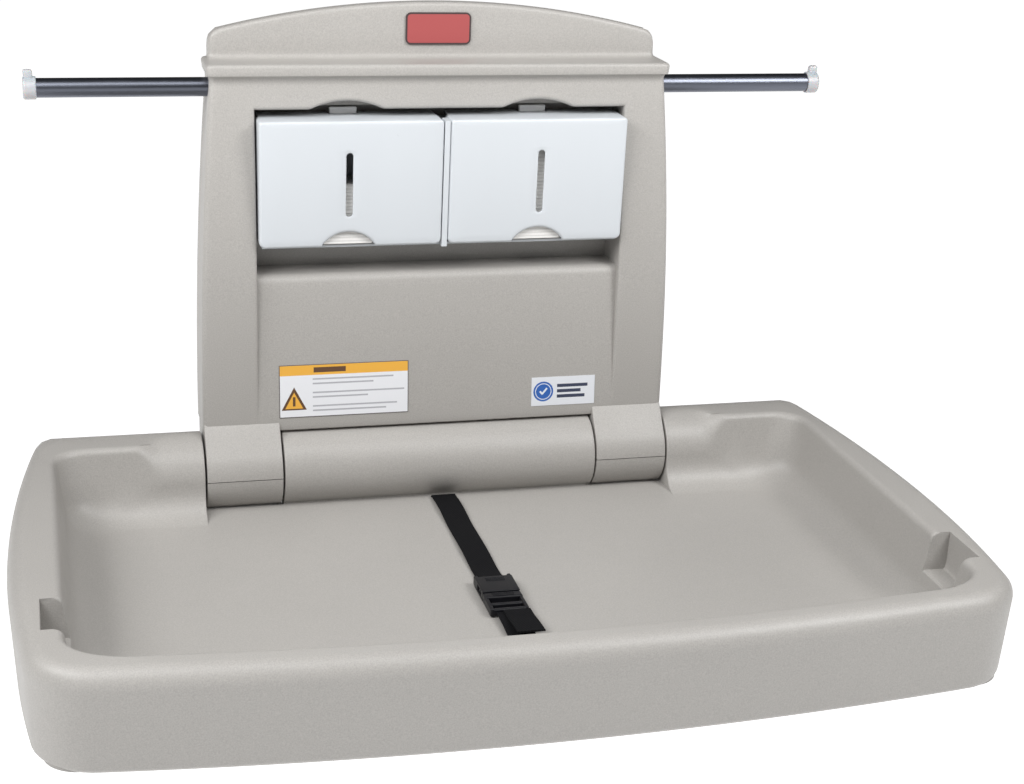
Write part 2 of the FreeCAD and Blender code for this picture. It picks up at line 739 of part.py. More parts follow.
# ---------------------------------------------------------------- the wall unit

def panel_sides(inset, low, top):
    """The panel's outline from the front: straight-footed sides that bow in towards the ledge."""
    foot = S.panel_low_half - inset
    head = S.panel_top_half - inset
    knee = S.rim + 20
    bow = S.panel_side_bow - inset
    return [
        (-foot, low),
        (foot, low),
        (foot, knee, bow),
        (head, top),
        (-head, top, bow),
        (-foot, knee),
    ]


def panel_front(inset, low, top):
    """The panel seen from its end: upright at the foot, bowing back towards the ledge."""
    out = -S.panel_front + inset
    head = -S.panel_top_front + inset
    knee = S.rim + 100
    return [
        (dim(FAR), low),
        (dim(FAR), top),
        (head, top, S.panel_front_bow),
        (out, knee),
        (out, low),
    ]


def panel_body(name, inset, low, top):
    """The main box of the panel, drawn in by an inset."""
    sides = slab(name + "_sides", "XZ", 0, S.panel_front + FAR, panel_sides(inset, low, top))
    ends = slab(name + "_ends", "YZ", -300, 300, panel_front(inset, low, top))
    return common(name, sides, ends)


def crown(name, inset, low):
    """The arched top plate, drawn in by an inset."""
    half = S.crown_half - inset
    bow = S.crown_bow - inset
    fall = S.crown_bow.value - math.sqrt(bow.value ** 2 - half.value ** 2)
    side_top = S.rim + S.crown_high - fall
    shape = [(-half, low), (half, low), (half, side_top, bow), (-half, side_top)]
    plate = slab(name + "_plate", "XZ", 0, S.crown_front - inset, shape)
    return rounded(
        name, plate, dim(16) - inset,
        lambda e: e.BoundBox.YLength > 5 and abs(e.CenterOfMass.z - side_top.value) < 1)


def knuckle_profile(inset):
    """The upper half of a knuckle from its end: off the panel's foot and round the fold axis."""
    radius = S.roll - inset
    reach = math.hypot(11, 49)
    lean = math.atan2(49, -11) + math.acos(S.roll.value / reach)
    touch_y = HINGE_Y + radius * math.cos(lean)
    touch_z = HINGE_Z + radius * math.sin(lean)
    split = HINGE_Z + 0.5
    edge_y = HINGE_Y - math.sqrt(radius.value ** 2 - 0.25)
    return [
        (-S.panel_front + inset, S.rim + 10),
        (touch_y, touch_z, radius),
        (edge_y, split),
        (dim(-3.4) + (FAR if dim(inset).value else 0), split),
        (dim(-3.4) + (FAR if dim(inset).value else 0), S.rim + 12),
        (-S.panel_front + inset, S.rim + 12),
    ]


def wall_panel():
    """The moulded cover: crown, ledge, bowed box, dispenser niche and the knuckles' upper halves."""
    foot = S.rim + 1.5
    ledge_low = S.rim + S.ledge_low
    ledge_high = S.rim + S.ledge_high
    wall = S.panel_wall
    ledge = rounded(
        "ledge", box("ledge_block", (-S.ledge_half, S.ledge_half), (-S.ledge_front, 0), (ledge_low, ledge_high)),
        dim(4), lambda e: e.CenterOfMass.y < -S.ledge_front.value + 1)
    knuckle = slab("knuckle", "YZ", S.knuckle_in, S.knuckle_out, knuckle_profile(0))
    outer = fuse(
        "panel_outer", panel_body("panel_box", dim(0), foot, ledge_low + 1), ledge,
        crown("crown", dim(0), ledge_low), knuckle, mirror("knuckle_left", knuckle))
    niche = box(
        "niche", (-S.niche_half, S.niche_half), (-S.panel_front - FAR, -S.niche_back),
        (S.rim + S.niche_low, S.rim + S.niche_high))
    pin_way = rod(
        "knuckle_pin_way", "x", S.pin_radius + 1.2, (S.knuckle_in - 5, S.knuckle_out + 5),
        HINGE_Y, HINGE_Z)
    bar_way = rod("bar_way", "x", S.bar_radius + 0.4, (-300, 300), -S.bar_out, S.rim + S.bar_high)
    return cut(
        "wall_panel", outer, niche, inset_face("inset_face", dim(0)), *scoops("scoop", dim(0)),
        panel_space(foot, ledge_low, ledge_high, wall), pin_way,
        mirror("knuckle_pin_way_left", pin_way), bar_way, *panel_screw_holes())


def inset_face(name, grow):
    """The wedge that sets the lower face back under the niche's sill."""
    half = S.niche_half - 1.5 + grow
    sill = S.rim + S.niche_low + 1
    low = S.rim + 12
    out = -S.panel_front - 2 * FAR
    profile = [
        (out, low),
        (-S.panel_front + grow, low),
        (-S.panel_front + S.inset_top + grow, sill),
        (out, sill),
    ]
    return slab(name, "YZ", -half, half, profile)


def scoops(name, grow):
    """Two shallow finger scoops in the head of the niche."""
    centre = S.rim + S.niche_high + S.scoop_rise - S.scoop_radius
    return [
        rod(f"{name}_{n}", "y", S.scoop_radius + grow, side * S.scoop_at,
            (-S.panel_front - FAR, dim(-30) + grow), centre)
        for n, side in enumerate((-1, 1))
    ]


def panel_space(foot, ledge_low, ledge_high, wall):
    """The hollow behind the panel's moulded wall, as a solid."""
    room = panel_body("panel_room", wall, foot + wall, ledge_low + 1)
    ledge_room = box(
        "ledge_room", (-S.ledge_half + wall, S.ledge_half - wall), (-S.ledge_front + wall, FAR),
        (ledge_low + wall, ledge_high - wall))
    way_up = box(
        "ledge_way", (-S.panel_top_half + wall, S.panel_top_half - wall),
        (-S.panel_top_front + wall, FAR), (ledge_low - 2, ledge_low + wall + 1))
    slot_up = box(
        "crown_way", (-S.crown_half + wall, S.crown_half - wall), (-S.crown_front + wall, FAR),
        (ledge_high - wall - 1, ledge_high + 5))
    knuckle_room = slab(
        "knuckle_room", "YZ", S.knuckle_in + wall, S.knuckle_out - wall, knuckle_profile(wall))
    neck = box(
        "knuckle_neck", (S.knuckle_in + wall, S.knuckle_out - wall),
        (-S.panel_front + wall, FAR), (S.rim + 11, S.rim + 14))
    space = fuse(
        "panel_space_blank", room, ledge_room, way_up, slot_up,
        crown("crown_room", wall, ledge_high + 1), knuckle_room,
        mirror("knuckle_room_left", knuckle_room), neck, mirror("knuckle_neck_left", neck))
    niche = box(
        "niche_walls", (-S.niche_half - wall, S.niche_half + wall),
        (-S.panel_front - FAR, -S.niche_back + wall),
        (S.rim + S.niche_low - wall, S.rim + S.niche_high + wall))
    return cut("panel_space", space, niche, inset_face("inset_walls", wall), *scoops("scoop_walls", wall))


PANEL_SCREWS = [(side * x, z) for z in (0, 1) for side in (-1, 1) for x in (40, 140)]


def panel_screw_height(row):
    """The two rows of screws line up with the frame's upper crossbar and the niche's foot."""
    return S.rim + (296 if row else 205)


def panel_screw_holes():
    """Holes in the back of the niche for the screws that hold the housing and the panel."""
    return [
        rod(f"panel_screw_hole_{n}", "y", S.panel_screw, x, (-S.niche_back - 1, -S.niche_back + 5),
            panel_screw_height(row))
        for n, (x, row) in enumerate(PANEL_SCREWS)
    ]


def panel_screws():
    """Eight screws through the housing and the niche's back."""
    screws = []
    for n, (x, row) in enumerate(PANEL_SCREWS):
        z = panel_screw_height(row)
        seat = -S.niche_back - 2.8
        head = rod(f"panel_screw_head_{n}", "y", S.panel_head, x, (seat - 2, seat), z)
        shank = rod(f"panel_screw_shank_{n}", "y", S.panel_screw, x, (seat - 1, -0.5), z)
        screws.append(fuse(f"panel_screw_{n}", head, shank))
    return group("panel_screws", *screws)


def knuckle_cover():
    """The lower half of the right knuckle, a separate cover clipped on under the fold axis."""
    x = (S.knuckle_in, S.knuckle_out)
    drum = rod("cover_drum", "x", S.roll, x, HINGE_Y, HINGE_Z)
    wall = S.panel_wall
    room = rod("cover_room", "x", S.roll - wall, (x[0] + wall, x[1] - wall), HINGE_Y, HINGE_Z)
    above = box("cover_above", (x[0] - 1, x[1] + 1), (-FAR * 6, FAR), (HINGE_Z, HINGE_Z + 60))
    rear = box("cover_rear", (x[0] + wall, x[1] - wall), (HINGE_Y + 30, FAR), (HINGE_Z - 30, HINGE_Z + 1))
    pin_way = rod("cover_pin_way", "x", S.pin_radius + 1.2, (x[0] - 1, x[1] + 1), HINGE_Y, HINGE_Z)
    return cut("knuckle_cover_right", drum, room, above, rear, pin_way)


def mounting_frame():
    """The steel frame behind the panel that the wall bolts go through."""
    y = (-S.frame_sheet, 0)
    side = S.bolt_across / 2 + 12
    top = S.rim + 346
    plate = box("frame_plate", (-side, side), y, (S.rim + 20, top))
    window = box("frame_window", (-side + 62, side - 62), (-5, 1), (S.rim + 78, S.rim + 190))
    leg = box("frame_leg", (S.knuckle_in + 5, S.knuckle_out - 4), y, (S.rim - 76, S.rim + 22))
    foot_bar = box("frame_foot", (-S.knuckle_in - 10, S.knuckle_in + 10), y, (S.rim - 76, S.rim - 52))
    holes = [
        rod(f"wall_hole_{n}", "y", S.bolt_hole, a * S.bolt_across / 2, (-6, 3), b * S.bolt_up / 2)
        for n, (a, b) in enumerate(((-1, -1), (1, -1), (1, 1), (-1, 1)))
    ]
    bolts = [
        rod(f"frame_bolt_hole_{n}", "y", S.bracket_bolt, side * x, (-6, 3), S.rim + z)
        for n, (x, z) in enumerate(BRACKET_BOLTS) for side in (-1, 1)
    ]
    screws = [
        rod(f"frame_screw_hole_{n}", "y", S.panel_screw, x, (-6, 3), panel_screw_height(row))
        for n, (x, row) in enumerate(PANEL_SCREWS)
    ]
    whole = fuse("frame_blank", plate, leg, mirror("frame_leg_left", leg), foot_bar)
    return cut("mounting_frame", whole, window, *holes, *bolts, *screws)


BRACKET_BOLTS = [(x, z) for x in (186, 210) for z in (4, 28)]


def bracket_bolts():
    """Eight bolts that hold the hinge brackets to the frame."""
    bolts = []
    seat = -S.frame_sheet - S.bracket_sheet
    for n, (x, z) in enumerate(BRACKET_BOLTS):
        for side in (-1, 1):
            label = f"{n}_{'left' if side < 0 else 'right'}"
            head = rod(f"bracket_head_{label}", "y", S.bracket_head, side * x, (seat - 4, seat), S.rim + z)
            shank = rod(
                f"bracket_shank_{label}", "y", S.bracket_bolt, side * x, (seat - 1, -0.2), S.rim + z)
            bolts.append(fuse(f"bracket_bolt_{label}", head, shank))
    return group("bracket_bolts", *bolts)


def hinge_bracket():
    """The right steel bracket: a back plate on the frame and two cheeks that carry the bushes."""
    x = (S.knuckle_in + 7, S.knuckle_out - 7)
    y = (-S.frame_sheet - S.bracket_sheet, -S.frame_sheet)
    parts = [box("bracket_back", x, y, (S.rim - 60, S.rim + 40))]
    for n, low in enumerate((x[0], x[1] - S.bracket_sheet)):
        across = (low, low + S.bracket_sheet)
        cheek = rod(f"cheek_boss_{n}", "x", 16, across, HINGE_Y, HINGE_Z)
        web = box(f"cheek_web_{n}", across, (HINGE_Y, y[1]), (HINGE_Z - 16, HINGE_Z + 16))
        parts += [cheek, web]
    bore = rod("bracket_bore", "x", S.bush_radius, (x[0] - 1, x[1] + 1), HINGE_Y, HINGE_Z)
    holes = [
        rod(f"bracket_hole_{n}", "y", S.bracket_bolt, a, (-12, 2), S.rim + b)
        for n, (a, b) in enumerate(BRACKET_BOLTS)
    ]
    return cut("hinge_bracket_right", fuse("bracket_blank", *parts), bore, *holes)


def hinge_bushes():
    """The right pair of nylon bushes, pressed into the bracket's cheeks."""
    bushes = []
    inner, outer = S.knuckle_in + 7, S.knuckle_out - 7
    for n, (low, face) in enumerate(((inner, inner - 1.5), (outer - 4, outer))):
        sleeve = rod(f"bush_sleeve_{n}", "x", S.bush_radius, (low, low + 4), HINGE_Y, HINGE_Z)
        flange = rod(f"bush_flange_{n}", "x", S.bush_radius + 2, (face, face + 1.5), HINGE_Y, HINGE_Z)
        bore = rod(
            f"bush_bore_{n}", "x", S.pin_radius + S.pin_play, (low - 4, low + 8), HINGE_Y, HINGE_Z)
        bushes.append(cut(f"bush_{n}", fuse(f"bush_blank_{n}", sleeve, flange), bore))
    return group("hinge_bushes_right", *bushes)


def hinge_damper():
    """The right rotary damper, which slows the bed as it comes down."""
    x = (S.knuckle_in + 17, S.knuckle_out - 17)
    drum = rod("damper_drum", "x", 14, x, HINGE_Y, HINGE_Z)
    foot = box(
        "damper_foot", (x[0] + 12, x[1] - 12), (HINGE_Y + 8, -S.frame_sheet - S.bracket_sheet), (HINGE_Z - 7, HINGE_Z + 7))
    bore = rod("damper_bore", "x", S.pin_radius + 0.1, (x[0] - 1, x[1] + 1), HINGE_Y, HINGE_Z)
    return cut("hinge_damper_right", fuse("damper_blank", drum, foot), bore)


def stop_pads():
    """Two rubber pads on the frame's foot that the open bed bears on."""
    y = (-(S.fold_out - S.roll) + 0.3, -S.frame_sheet)
    return group("stop_pads", *[
        box(f"stop_pad_{n}", (x - 20, x + 20), y, (S.rim - 70, S.rim - 57))
        for n, x in enumerate((-110, 110))
    ])


def support_bar():
    """The steel tube that runs through the panel and out on both sides."""
    x = (-S.bar_half, S.bar_half)
    z = S.rim + S.bar_high
    tube = rod("bar_tube", "x", S.bar_radius, x, -S.bar_out, z)
    bore = rod("bar_bore", "x", S.bar_bore, (x[0] - 1, x[1] + 1), -S.bar_out, z)
    return cut("support_bar", tube, bore)


def bar_bracket():
    """The right steel plate that carries the bar off the frame."""
    x = (dim(196), dim(200))
    z = S.rim + S.bar_high
    plate = box("bar_plate", x, (-S.bar_out - 11.5, -S.frame_sheet), (z - 15, z + 7.2))
    foot = box("bar_foot", (x[0] - 22, x[1]), (-S.frame_sheet - 3, -S.frame_sheet), (z - 15, z + 7.2))
    bore = rod("bar_bracket_bore", "x", S.bar_radius, (x[0] - 1, x[1] + 1), -S.bar_out, z)
    return cut("bar_bracket_right", fuse("bar_bracket_blank", plate, foot), bore)


def bar_hook():
    """The right end cap of the bar, with a short hook that stands up from it."""
    z = S.rim + S.bar_high
    x = (S.cap_half - 12, S.cap_half)
    cap = rod("cap_drum", "x", S.cap_radius, x, -S.bar_out, z)
    fin = box("cap_fin", (S.cap_half - 10, S.cap_half), (-S.bar_out - 4.5, -S.bar_out + 4.5), (z, z + 17))
    tip = rounded("cap_tip", fin, dim(4), lambda e: e.CenterOfMass.z > z.value + 16 and e.BoundBox.XLength < 1)
    bore = rod("cap_bore", "x", S.bar_radius, (x[0] - 1, S.bar_half), -S.bar_out, z)
    return cut("bar_hook_right", fuse("cap_blank", cap, tip), bore)


# ---------------------------------------------------------------- the liner dispenser

def door_face(inset, low, high):
    """The doors' slanting front, seen from the end, drawn in by an inset."""
    back = -S.door_pin_out + 18
    foot = -S.door_foot_out + inset
    head = -S.door_top_out + inset
    return [(foot, low), (head, high), (back, high), (back, low)]


def dispenser_door():
    """The right door: a shallow wedge-shaped cap with a sight slot and a thumb opening."""
    low, high = S.rim + S.door_low, S.rim + S.door_high
    wall = S.door_sheet
    x = (S.mullion + 0.7, S.door_half)
    blank = slab("door_blank", "YZ", x[0], x[1], door_face(0, low, high))
    room = slab(
        "door_room", "YZ", x[0] + wall, x[1] - wall, door_room(wall, low + wall, high - wall))
    flange = box(
        "door_flange", (x[0] + 1, x[1] - 1), (-S.door_pin_out + 17, -18), (high - wall, high))
    notch = box(
        "door_notch", (S.scoop_at - S.tab_half - 2, S.scoop_at + S.tab_half + 2), (-27.5, -17),
        (high - 5, high + 1))
    ear_gap = box("door_ear_gap", (x[1] - 7.5, x[1] - wall), (-62.5, -50), (low - 1, low + 14))
    divider_gap = box("door_divider_gap", (x[0] - 1, x[0] + wall), (-55.3, -30), (low - 1, high - wall))
    slot = fuse(
        "door_slot",
        box("slot_middle", (S.scoop_at - 3.2, S.scoop_at + 3.2), (-90, -50), (low + 30, low + 92)),
        rod("slot_top", "y", 3.2, S.scoop_at, (-90, -50), low + 92),
        rod("slot_foot", "y", 3.2, S.scoop_at, (-90, -50), low + 30))
    thumb = rod("door_thumb", "y", 32, S.scoop_at, (-90, -50), low + 14.5 - 32)
    bores = rod(
        "door_bores", "x", S.door_pin_radius + S.pin_play, (x[0] - 1, x[1] + 1),
        -S.door_pin_out, S.rim + S.door_pin_high)
    shell = cut("door_shell", blank, room)
    whole = fuse("door_whole", shell, flange)
    return cut("dispenser_door_right", whole, notch, slot, thumb, bores, ear_gap, divider_gap)


def door_room(wall, low, high):
    """The hollow behind the door, open towards the wall and behind its foot flange."""
    back = -S.door_pin_out + 20
    foot = -S.door_foot_out + wall
    head = -S.door_top_out + wall
    flange = -S.door_pin_out + 1.5
    return [
        (foot, low), (head, high), (back, high), (back, low - FAR), (flange, low - FAR), (flange, low)]


def door_pins():
    """Four stub pins that the doors turn on."""
    z = S.rim + S.door_pin_high
    pins = []
    for n, (low, high) in enumerate(((dim(0.2), S.mullion + 5.5), (S.door_half - 7, S.door_half + 0.2))):
        pin = rod(f"door_pin_{n}", "x", S.door_pin_radius, (low, high), -S.door_pin_out, z)
        pins += [pin, mirror(f"door_pin_left_{n}", pin)]
    return group("door_pins", *pins)


def dispenser_housing():
    """The white box in the niche: back, floor, sides, roof and the mullion between the doors."""
    low, high = S.rim + S.door_low - 2.5, S.rim + S.door_high - 6
    wall = dim(2.2)
    half = S.door_half - 3.6
    back = -S.niche_back - 0.5
    front = -S.door_pin_out + 3
    blank = box("housing_blank", (-half, half), (front, back), (low, high))
    rooms = [
        box(f"housing_room_{n}", x, (front - 1, back - wall), (low + wall, high - wall))
        for n, x in enumerate(((-half + wall, -S.mullion), (S.mullion, half - wall)))
    ]
    mullion = slab(
        "mullion", "YZ", -S.mullion, S.mullion, [
            (-S.door_foot_out + 0.6, low), (-S.door_top_out + 0.6, high + 5.5),
            (front + 1, high + 5.5), (front + 1, low)])
    ears = []
    pin_z = S.rim + S.door_pin_high
    for n, x in enumerate(((-half, -half + wall), (half - wall, half))):
        ears.append(rod(f"housing_eye_{n}", "x", 4.2, x, -S.door_pin_out, pin_z))
        ears.append(box(
            f"housing_ear_{n}", x, (-S.door_pin_out, front + 1), (pin_z - 4.2, pin_z + 4.2)))
    slots = [
        box(f"tab_slot_{n}", (side * S.scoop_at - S.tab_half - 0.5, side * S.scoop_at + S.tab_half + 0.5),
            (-26.5, -21.5), (high - 5, high + 1))
        for n, side in enumerate((-1, 1))
    ]
    bores = rod(
        "housing_pin_bores", "x", S.door_pin_radius, (-half - 5, half + 5), -S.door_pin_out, pin_z)
    holes = [
        rod(f"housing_screw_hole_{n}", "y", S.panel_screw, x, (back - 4, back + 1), panel_screw_height(row))
        for n, (x, row) in enumerate(PANEL_SCREWS)
    ]
    guides = []
    for n, side in enumerate((-1, 1)):
        guides.append(box(
            f"tab_guide_{n}", (side * S.scoop_at - 9, side * S.scoop_at + 9), (-31, back - 1),
            (high - 18.5, high - 16.3)))
    shell = cut("housing_shell", blank, *rooms)
    whole = fuse("housing_whole", shell, mullion, *ears, *guides)
    return cut("dispenser_housing", whole, *slots, bores, *holes)


def latch_tab():
    """The right latch tab, which stands up through the door's flange and is pressed to free it."""
    high = S.rim + S.door_high
    roof = high - 6
    x = (S.scoop_at - S.tab_half, S.scoop_at + S.tab_half)
    y = (-26, -22)
    tab = rounded(
        "tab_top", box("tab_block", x, y, (roof - 9, high + 3.5)), dim(1.2),
        lambda e: e.CenterOfMass.z > high.value + 3 and e.BoundBox.XLength > 5)
    shoulder = box("tab_shoulder", (x[0] - 3, x[1] + 3), (-27.5, -20.5), (roof - 10, roof - 2.3))
    return fuse("latch_tab_right", tab, shoulder)


def latch_spring():
    """The right latch spring: the envelope of a small coil under the tab."""
    roof = S.rim + S.door_high - 6
    z = (roof - 16.2, roof - 10.1)
    coil = rod("spring_coil", "z", 3.2, S.scoop_at, -24, z)
    bore = rod("spring_bore", "z", 2.2, S.scoop_at, -24, (z[0] - 1, z[1] + 1))
    return cut("latch_spring_right", coil, bore)


def liner_stack(name, side, top):
    """A stack of folded paper liners standing on the housing's floor."""
    x = (12, 168) if side > 0 else (-168, -12)
    return box(name, x, (-S.door_pin_out + 6.5, -20), (S.rim + S.door_low - 0.2, S.rim + top))


# ---------------------------------------------------------------- plates and labels

def plate(name, x, z, front, thick, radius):
    """A thin plate with rounded corners on a face that stands out from the wall by front."""
    blank = box(name + "_blank", x, (-front - thick, -front), z)
    return rounded(name, blank, dim(radius), lambda e: e.BoundBox.YLength > thick / 2)


def leaning(name, x, low, high):
    """A label on the set-back lower face, which leans with it."""
    def face(z):
        share = (dim(z) - 12) / (S.niche_low + 1 - 12)
        return -S.panel_front + S.inset_top * share
    foot, head = face(low), face(high)
    profile = [
        (foot - 0.5, S.rim + low), (foot, S.rim + low), (head, S.rim + high), (head - 0.5, S.rim + high)]
    return slab(name, "YZ", x[0], x[1], profile)


def twin(right, name):
    """A right-hand piece with its left-hand mirror image."""
    return [(name + "_right", right), (name + "_left", mirror(name + "_left", right))]


def build():
    """Make every piece, in the order of the list in the report."""
    rear, front, tail = strap_pieces()
    pieces = [
        ("bed_tray", bed_tray()),
        ("bed_base", bed_base()),
        ("base_screws", base_screws()),
        ("arm_bolts", arm_bolts()),
        ("strap_rear", rear),
        ("strap_front", front),
        ("strap_tail", tail),
        ("strap_anchor_rear", strap_anchor("strap_anchor_rear", S.strap_rear)),
        ("strap_anchor_front", strap_anchor("strap_anchor_front", S.strap_front)),
        ("buckle_socket", buckle_socket()),
        ("buckle_clip", buckle_clip()),
        ("wall_panel", wall_panel()),
        ("panel_screws", panel_screws()),
        ("mounting_frame", mounting_frame()),
        ("bracket_bolts", bracket_bolts()),
        ("stop_pads", stop_pads()),
        ("support_bar", support_bar()),
        ("door_pins", door_pins()),
        ("dispenser_housing", dispenser_housing()),
        ("liner_stack_left", liner_stack("liner_stack_left", -1, 249)),
        ("liner_stack_right", liner_stack("liner_stack_right", 1, 285)),
        ("badge_plate", plate("badge_plate", (-32, 32), (S.rim + 375, S.rim + 405.5), S.crown_front, 1.6, 5)),
        ("notice_label", leaning("notice_label", (-161, -32), 15, 68.5)),
        ("approval_sticker", leaning("approval_sticker", (96, 163), 14, 44)),
    ]
    pieces += twin(bed_arm(), "bed_arm")
    pieces += twin(hinge_pin(), "hinge_pin")
    pieces += twin(hinge_bracket(), "hinge_bracket")
    pieces += twin(hinge_bushes(), "hinge_bushes")
    pieces += twin(hinge_damper(), "hinge_damper")
    pieces += twin(knuckle_cover(), "knuckle_cover")
    pieces += twin(bar_bracket(), "bar_bracket")
    pieces += twin(bar_hook(), "bar_hook")
    pieces += twin(dispenser_door(), "dispenser_door")
    pieces += twin(latch_tab(), "latch_tab")
    pieces += twin(latch_spring(), "latch_spring")
    return pieces


def checked(pieces):
    """Recompute, and stop if any object failed or any piece is empty or not valid."""
    doc.recompute()
    for thing in doc.Objects:
        if "Invalid" in thing.State or "Error" in thing.State:
            raise RuntimeError(f"{thing.Name} failed: {thing.State}")
    for name, piece in pieces:
        shape = piece.Shape
        if shape.isNull() or not shape.isValid() or not shape.Solids:
            raise RuntimeError(f"{name} has no valid solid")
        print(f"{name}: {len(shape.Solids)} solids, {shape.Volume / 1000:.1f} cm3")


def export(pieces):
    """Write each piece to its own STEP file."""
    os.makedirs("parts", exist_ok=True)
    for name, piece in pieces:
        piece.Label = name
        piece.Shape.exportStep(f"parts/{name}.step")


PIECES = build()
checked(PIECES)
export(PIECES)
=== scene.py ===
"""Looks for a wall-mounted baby changing station, laid out as an add-on and run as a script.

Lengths inside the shape functions are in millimetres; heights of bed and panel pieces are counted
from the bed's rim plane. put() turns them into metres in the frame's own axes.
"""

import json
import math

import bmesh
import bpy
import numpy as np
from bpy.props import FloatProperty, FloatVectorProperty, PointerProperty
from mathutils import Matrix, Vector


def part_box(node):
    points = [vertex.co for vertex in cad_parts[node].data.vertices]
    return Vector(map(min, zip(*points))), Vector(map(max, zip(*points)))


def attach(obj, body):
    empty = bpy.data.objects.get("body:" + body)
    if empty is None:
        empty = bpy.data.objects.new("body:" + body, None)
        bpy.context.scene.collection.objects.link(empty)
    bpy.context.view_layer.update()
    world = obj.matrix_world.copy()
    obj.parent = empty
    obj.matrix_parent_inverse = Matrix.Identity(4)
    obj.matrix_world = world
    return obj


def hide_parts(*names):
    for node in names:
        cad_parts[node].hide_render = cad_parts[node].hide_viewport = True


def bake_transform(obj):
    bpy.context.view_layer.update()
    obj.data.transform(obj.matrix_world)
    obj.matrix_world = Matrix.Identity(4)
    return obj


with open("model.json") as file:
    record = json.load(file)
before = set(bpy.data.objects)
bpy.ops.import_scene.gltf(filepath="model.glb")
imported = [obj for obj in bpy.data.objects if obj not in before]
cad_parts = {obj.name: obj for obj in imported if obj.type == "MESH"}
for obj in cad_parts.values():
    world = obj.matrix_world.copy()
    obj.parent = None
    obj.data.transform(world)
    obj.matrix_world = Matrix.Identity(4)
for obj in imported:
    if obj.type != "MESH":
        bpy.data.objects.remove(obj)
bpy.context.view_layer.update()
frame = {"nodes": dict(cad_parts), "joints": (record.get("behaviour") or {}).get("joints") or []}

bl_info = {
    "name": "Changing Station",
    "version": (1, 0, 0),
    "blender": (4, 5, 0),
    "location": "3D Viewport > Sidebar > Station",
    "description": "Builds the visible surfaces and finishes of a fold-down changing station",
    "category": "Object",
}

CLIFF = 1e6
JOINTS = {joint["name"]: joint for joint in frame["joints"]}


def node_box(name):
    """Lowest and highest corner of a frame node, in millimetres."""
    low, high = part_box(name)
    return np.array(low) * 1000, np.array(high) * 1000


TRAY_LOW, TRAY_HIGH = node_box("bed_tray")
RIM = TRAY_HIGH[2]
AXIS_Y = JOINTS["bed_fold"]["pos_m"][1] * 1000
AXIS_Z = JOINTS["bed_fold"]["pos_m"][2] * 1000 - RIM
BED_HALF = TRAY_HIGH[0] + 0.5
BED_FRONT = -TRAY_LOW[1] + 0.2
BED_DEEP = TRAY_HIGH[2] - TRAY_LOW[2]
ROLL = -AXIS_Z - 0.5
RIM_EDGE, BASE_EDGE = 17, 6


# ------------------------------------------------------------------ numbers and grids

def eased(share):
    """A smooth step: 3t^2 - 2t^3 of the share, held between 0 and 1."""
    share = np.clip(share, 0, 1)
    return share * share * (3 - 2 * share)


def mixed(a, b, share):
    """Straight mix of two arrays."""
    return a + (b - a) * share


def round_meet(a, b, radius):
    """Two outside distances met in an edge of that radius: a quarter circle where both are near."""
    corner = np.hypot(np.maximum(a + radius, 0), np.maximum(b + radius, 0))
    return corner + np.minimum(np.maximum(a, b) + radius, 0) - radius


def edge_drop(into, radius):
    """Drop of a rounded edge, a quarter circle's depth, then a cliff once past the radius."""
    inside = np.clip(into, 0, radius)
    drop = radius - np.sqrt(np.maximum(radius * radius - inside * inside, 0))
    return np.where(into > radius + 0.001, CLIFF, drop)


def round_steps(radius, count=4):
    """Places across a rounded edge, evenly spaced in angle, from its start to its far side."""
    return radius * np.sin(np.linspace(0, math.pi / 2, count))


def carved(surface, floor, depth):
    """Each point of a surface moved towards its partner on the floor, by depth at the most."""
    run = floor - surface
    length = np.maximum(np.linalg.norm(run, axis=-1), 1e-9)
    return surface + run * np.minimum(1, depth / length)[..., None]


def reached(centre, heading, outside, reach):
    """Where rays from inside leave a solid: the outside distance's zero, found by halving."""
    near = np.zeros(heading.shape[:-1])
    far = np.full(heading.shape[:-1], float(reach))
    for _ in range(34):
        middle = (near + far) / 2
        out = outside(centre + heading * middle[..., None]) > 0
        far = np.where(out, middle, far)
        near = np.where(out, near, middle)
    return centre + heading * near[..., None]


class Surface:
    """Grids and flat caps gathered before they become one mesh."""

    def __init__(self):
        self.points, self.quads, self.caps = [], [], []
        self.count = 0

    def keep(self, points):
        """Store points and give the number of the first."""
        first = self.count
        self.points.append(np.asarray(points, float).reshape(-1, 3))
        self.count += len(self.points[-1])
        return first

    def grid(self, points, loop=False, flip=False):
        """Quads over rows by columns by three; a loop joins the last column to the first."""
        rows, columns = points.shape[:2]
        row, column = np.meshgrid(
            np.arange(rows - 1), np.arange(columns - (0 if loop else 1)), indexing="ij")
        beside = (column + 1) % columns
        quads = np.stack([
            row * columns + column, row * columns + beside,
            (row + 1) * columns + beside, (row + 1) * columns + column], -1).reshape(-1, 4)
        self.quads.append((quads[:, ::-1] if flip else quads) + self.keep(points))

    def cap(self, points, flip=False):
        """One flat face over a ring of points."""
        order = np.arange(len(points)) + self.keep(points)
        self.caps.append((order[::-1] if flip else order).tolist())

    def join(self, other, move=(0, 0, 0), mirror=False):
        """Add another surface, moved, or mirrored in the middle plane with its faces turned round."""
        first = self.keep(np.concatenate(other.points) * (-1 if mirror else 1, 1, 1) + move)
        turn = -1 if mirror else 1
        self.quads += [quads[:, ::turn] + first for quads in other.quads]
        self.caps += [[first + n for n in cap][::turn] for cap in other.caps]
        return self


def mirrored(surface):
    """The left-hand twin of a right-hand surface."""
    return Surface().join(surface, mirror=True)


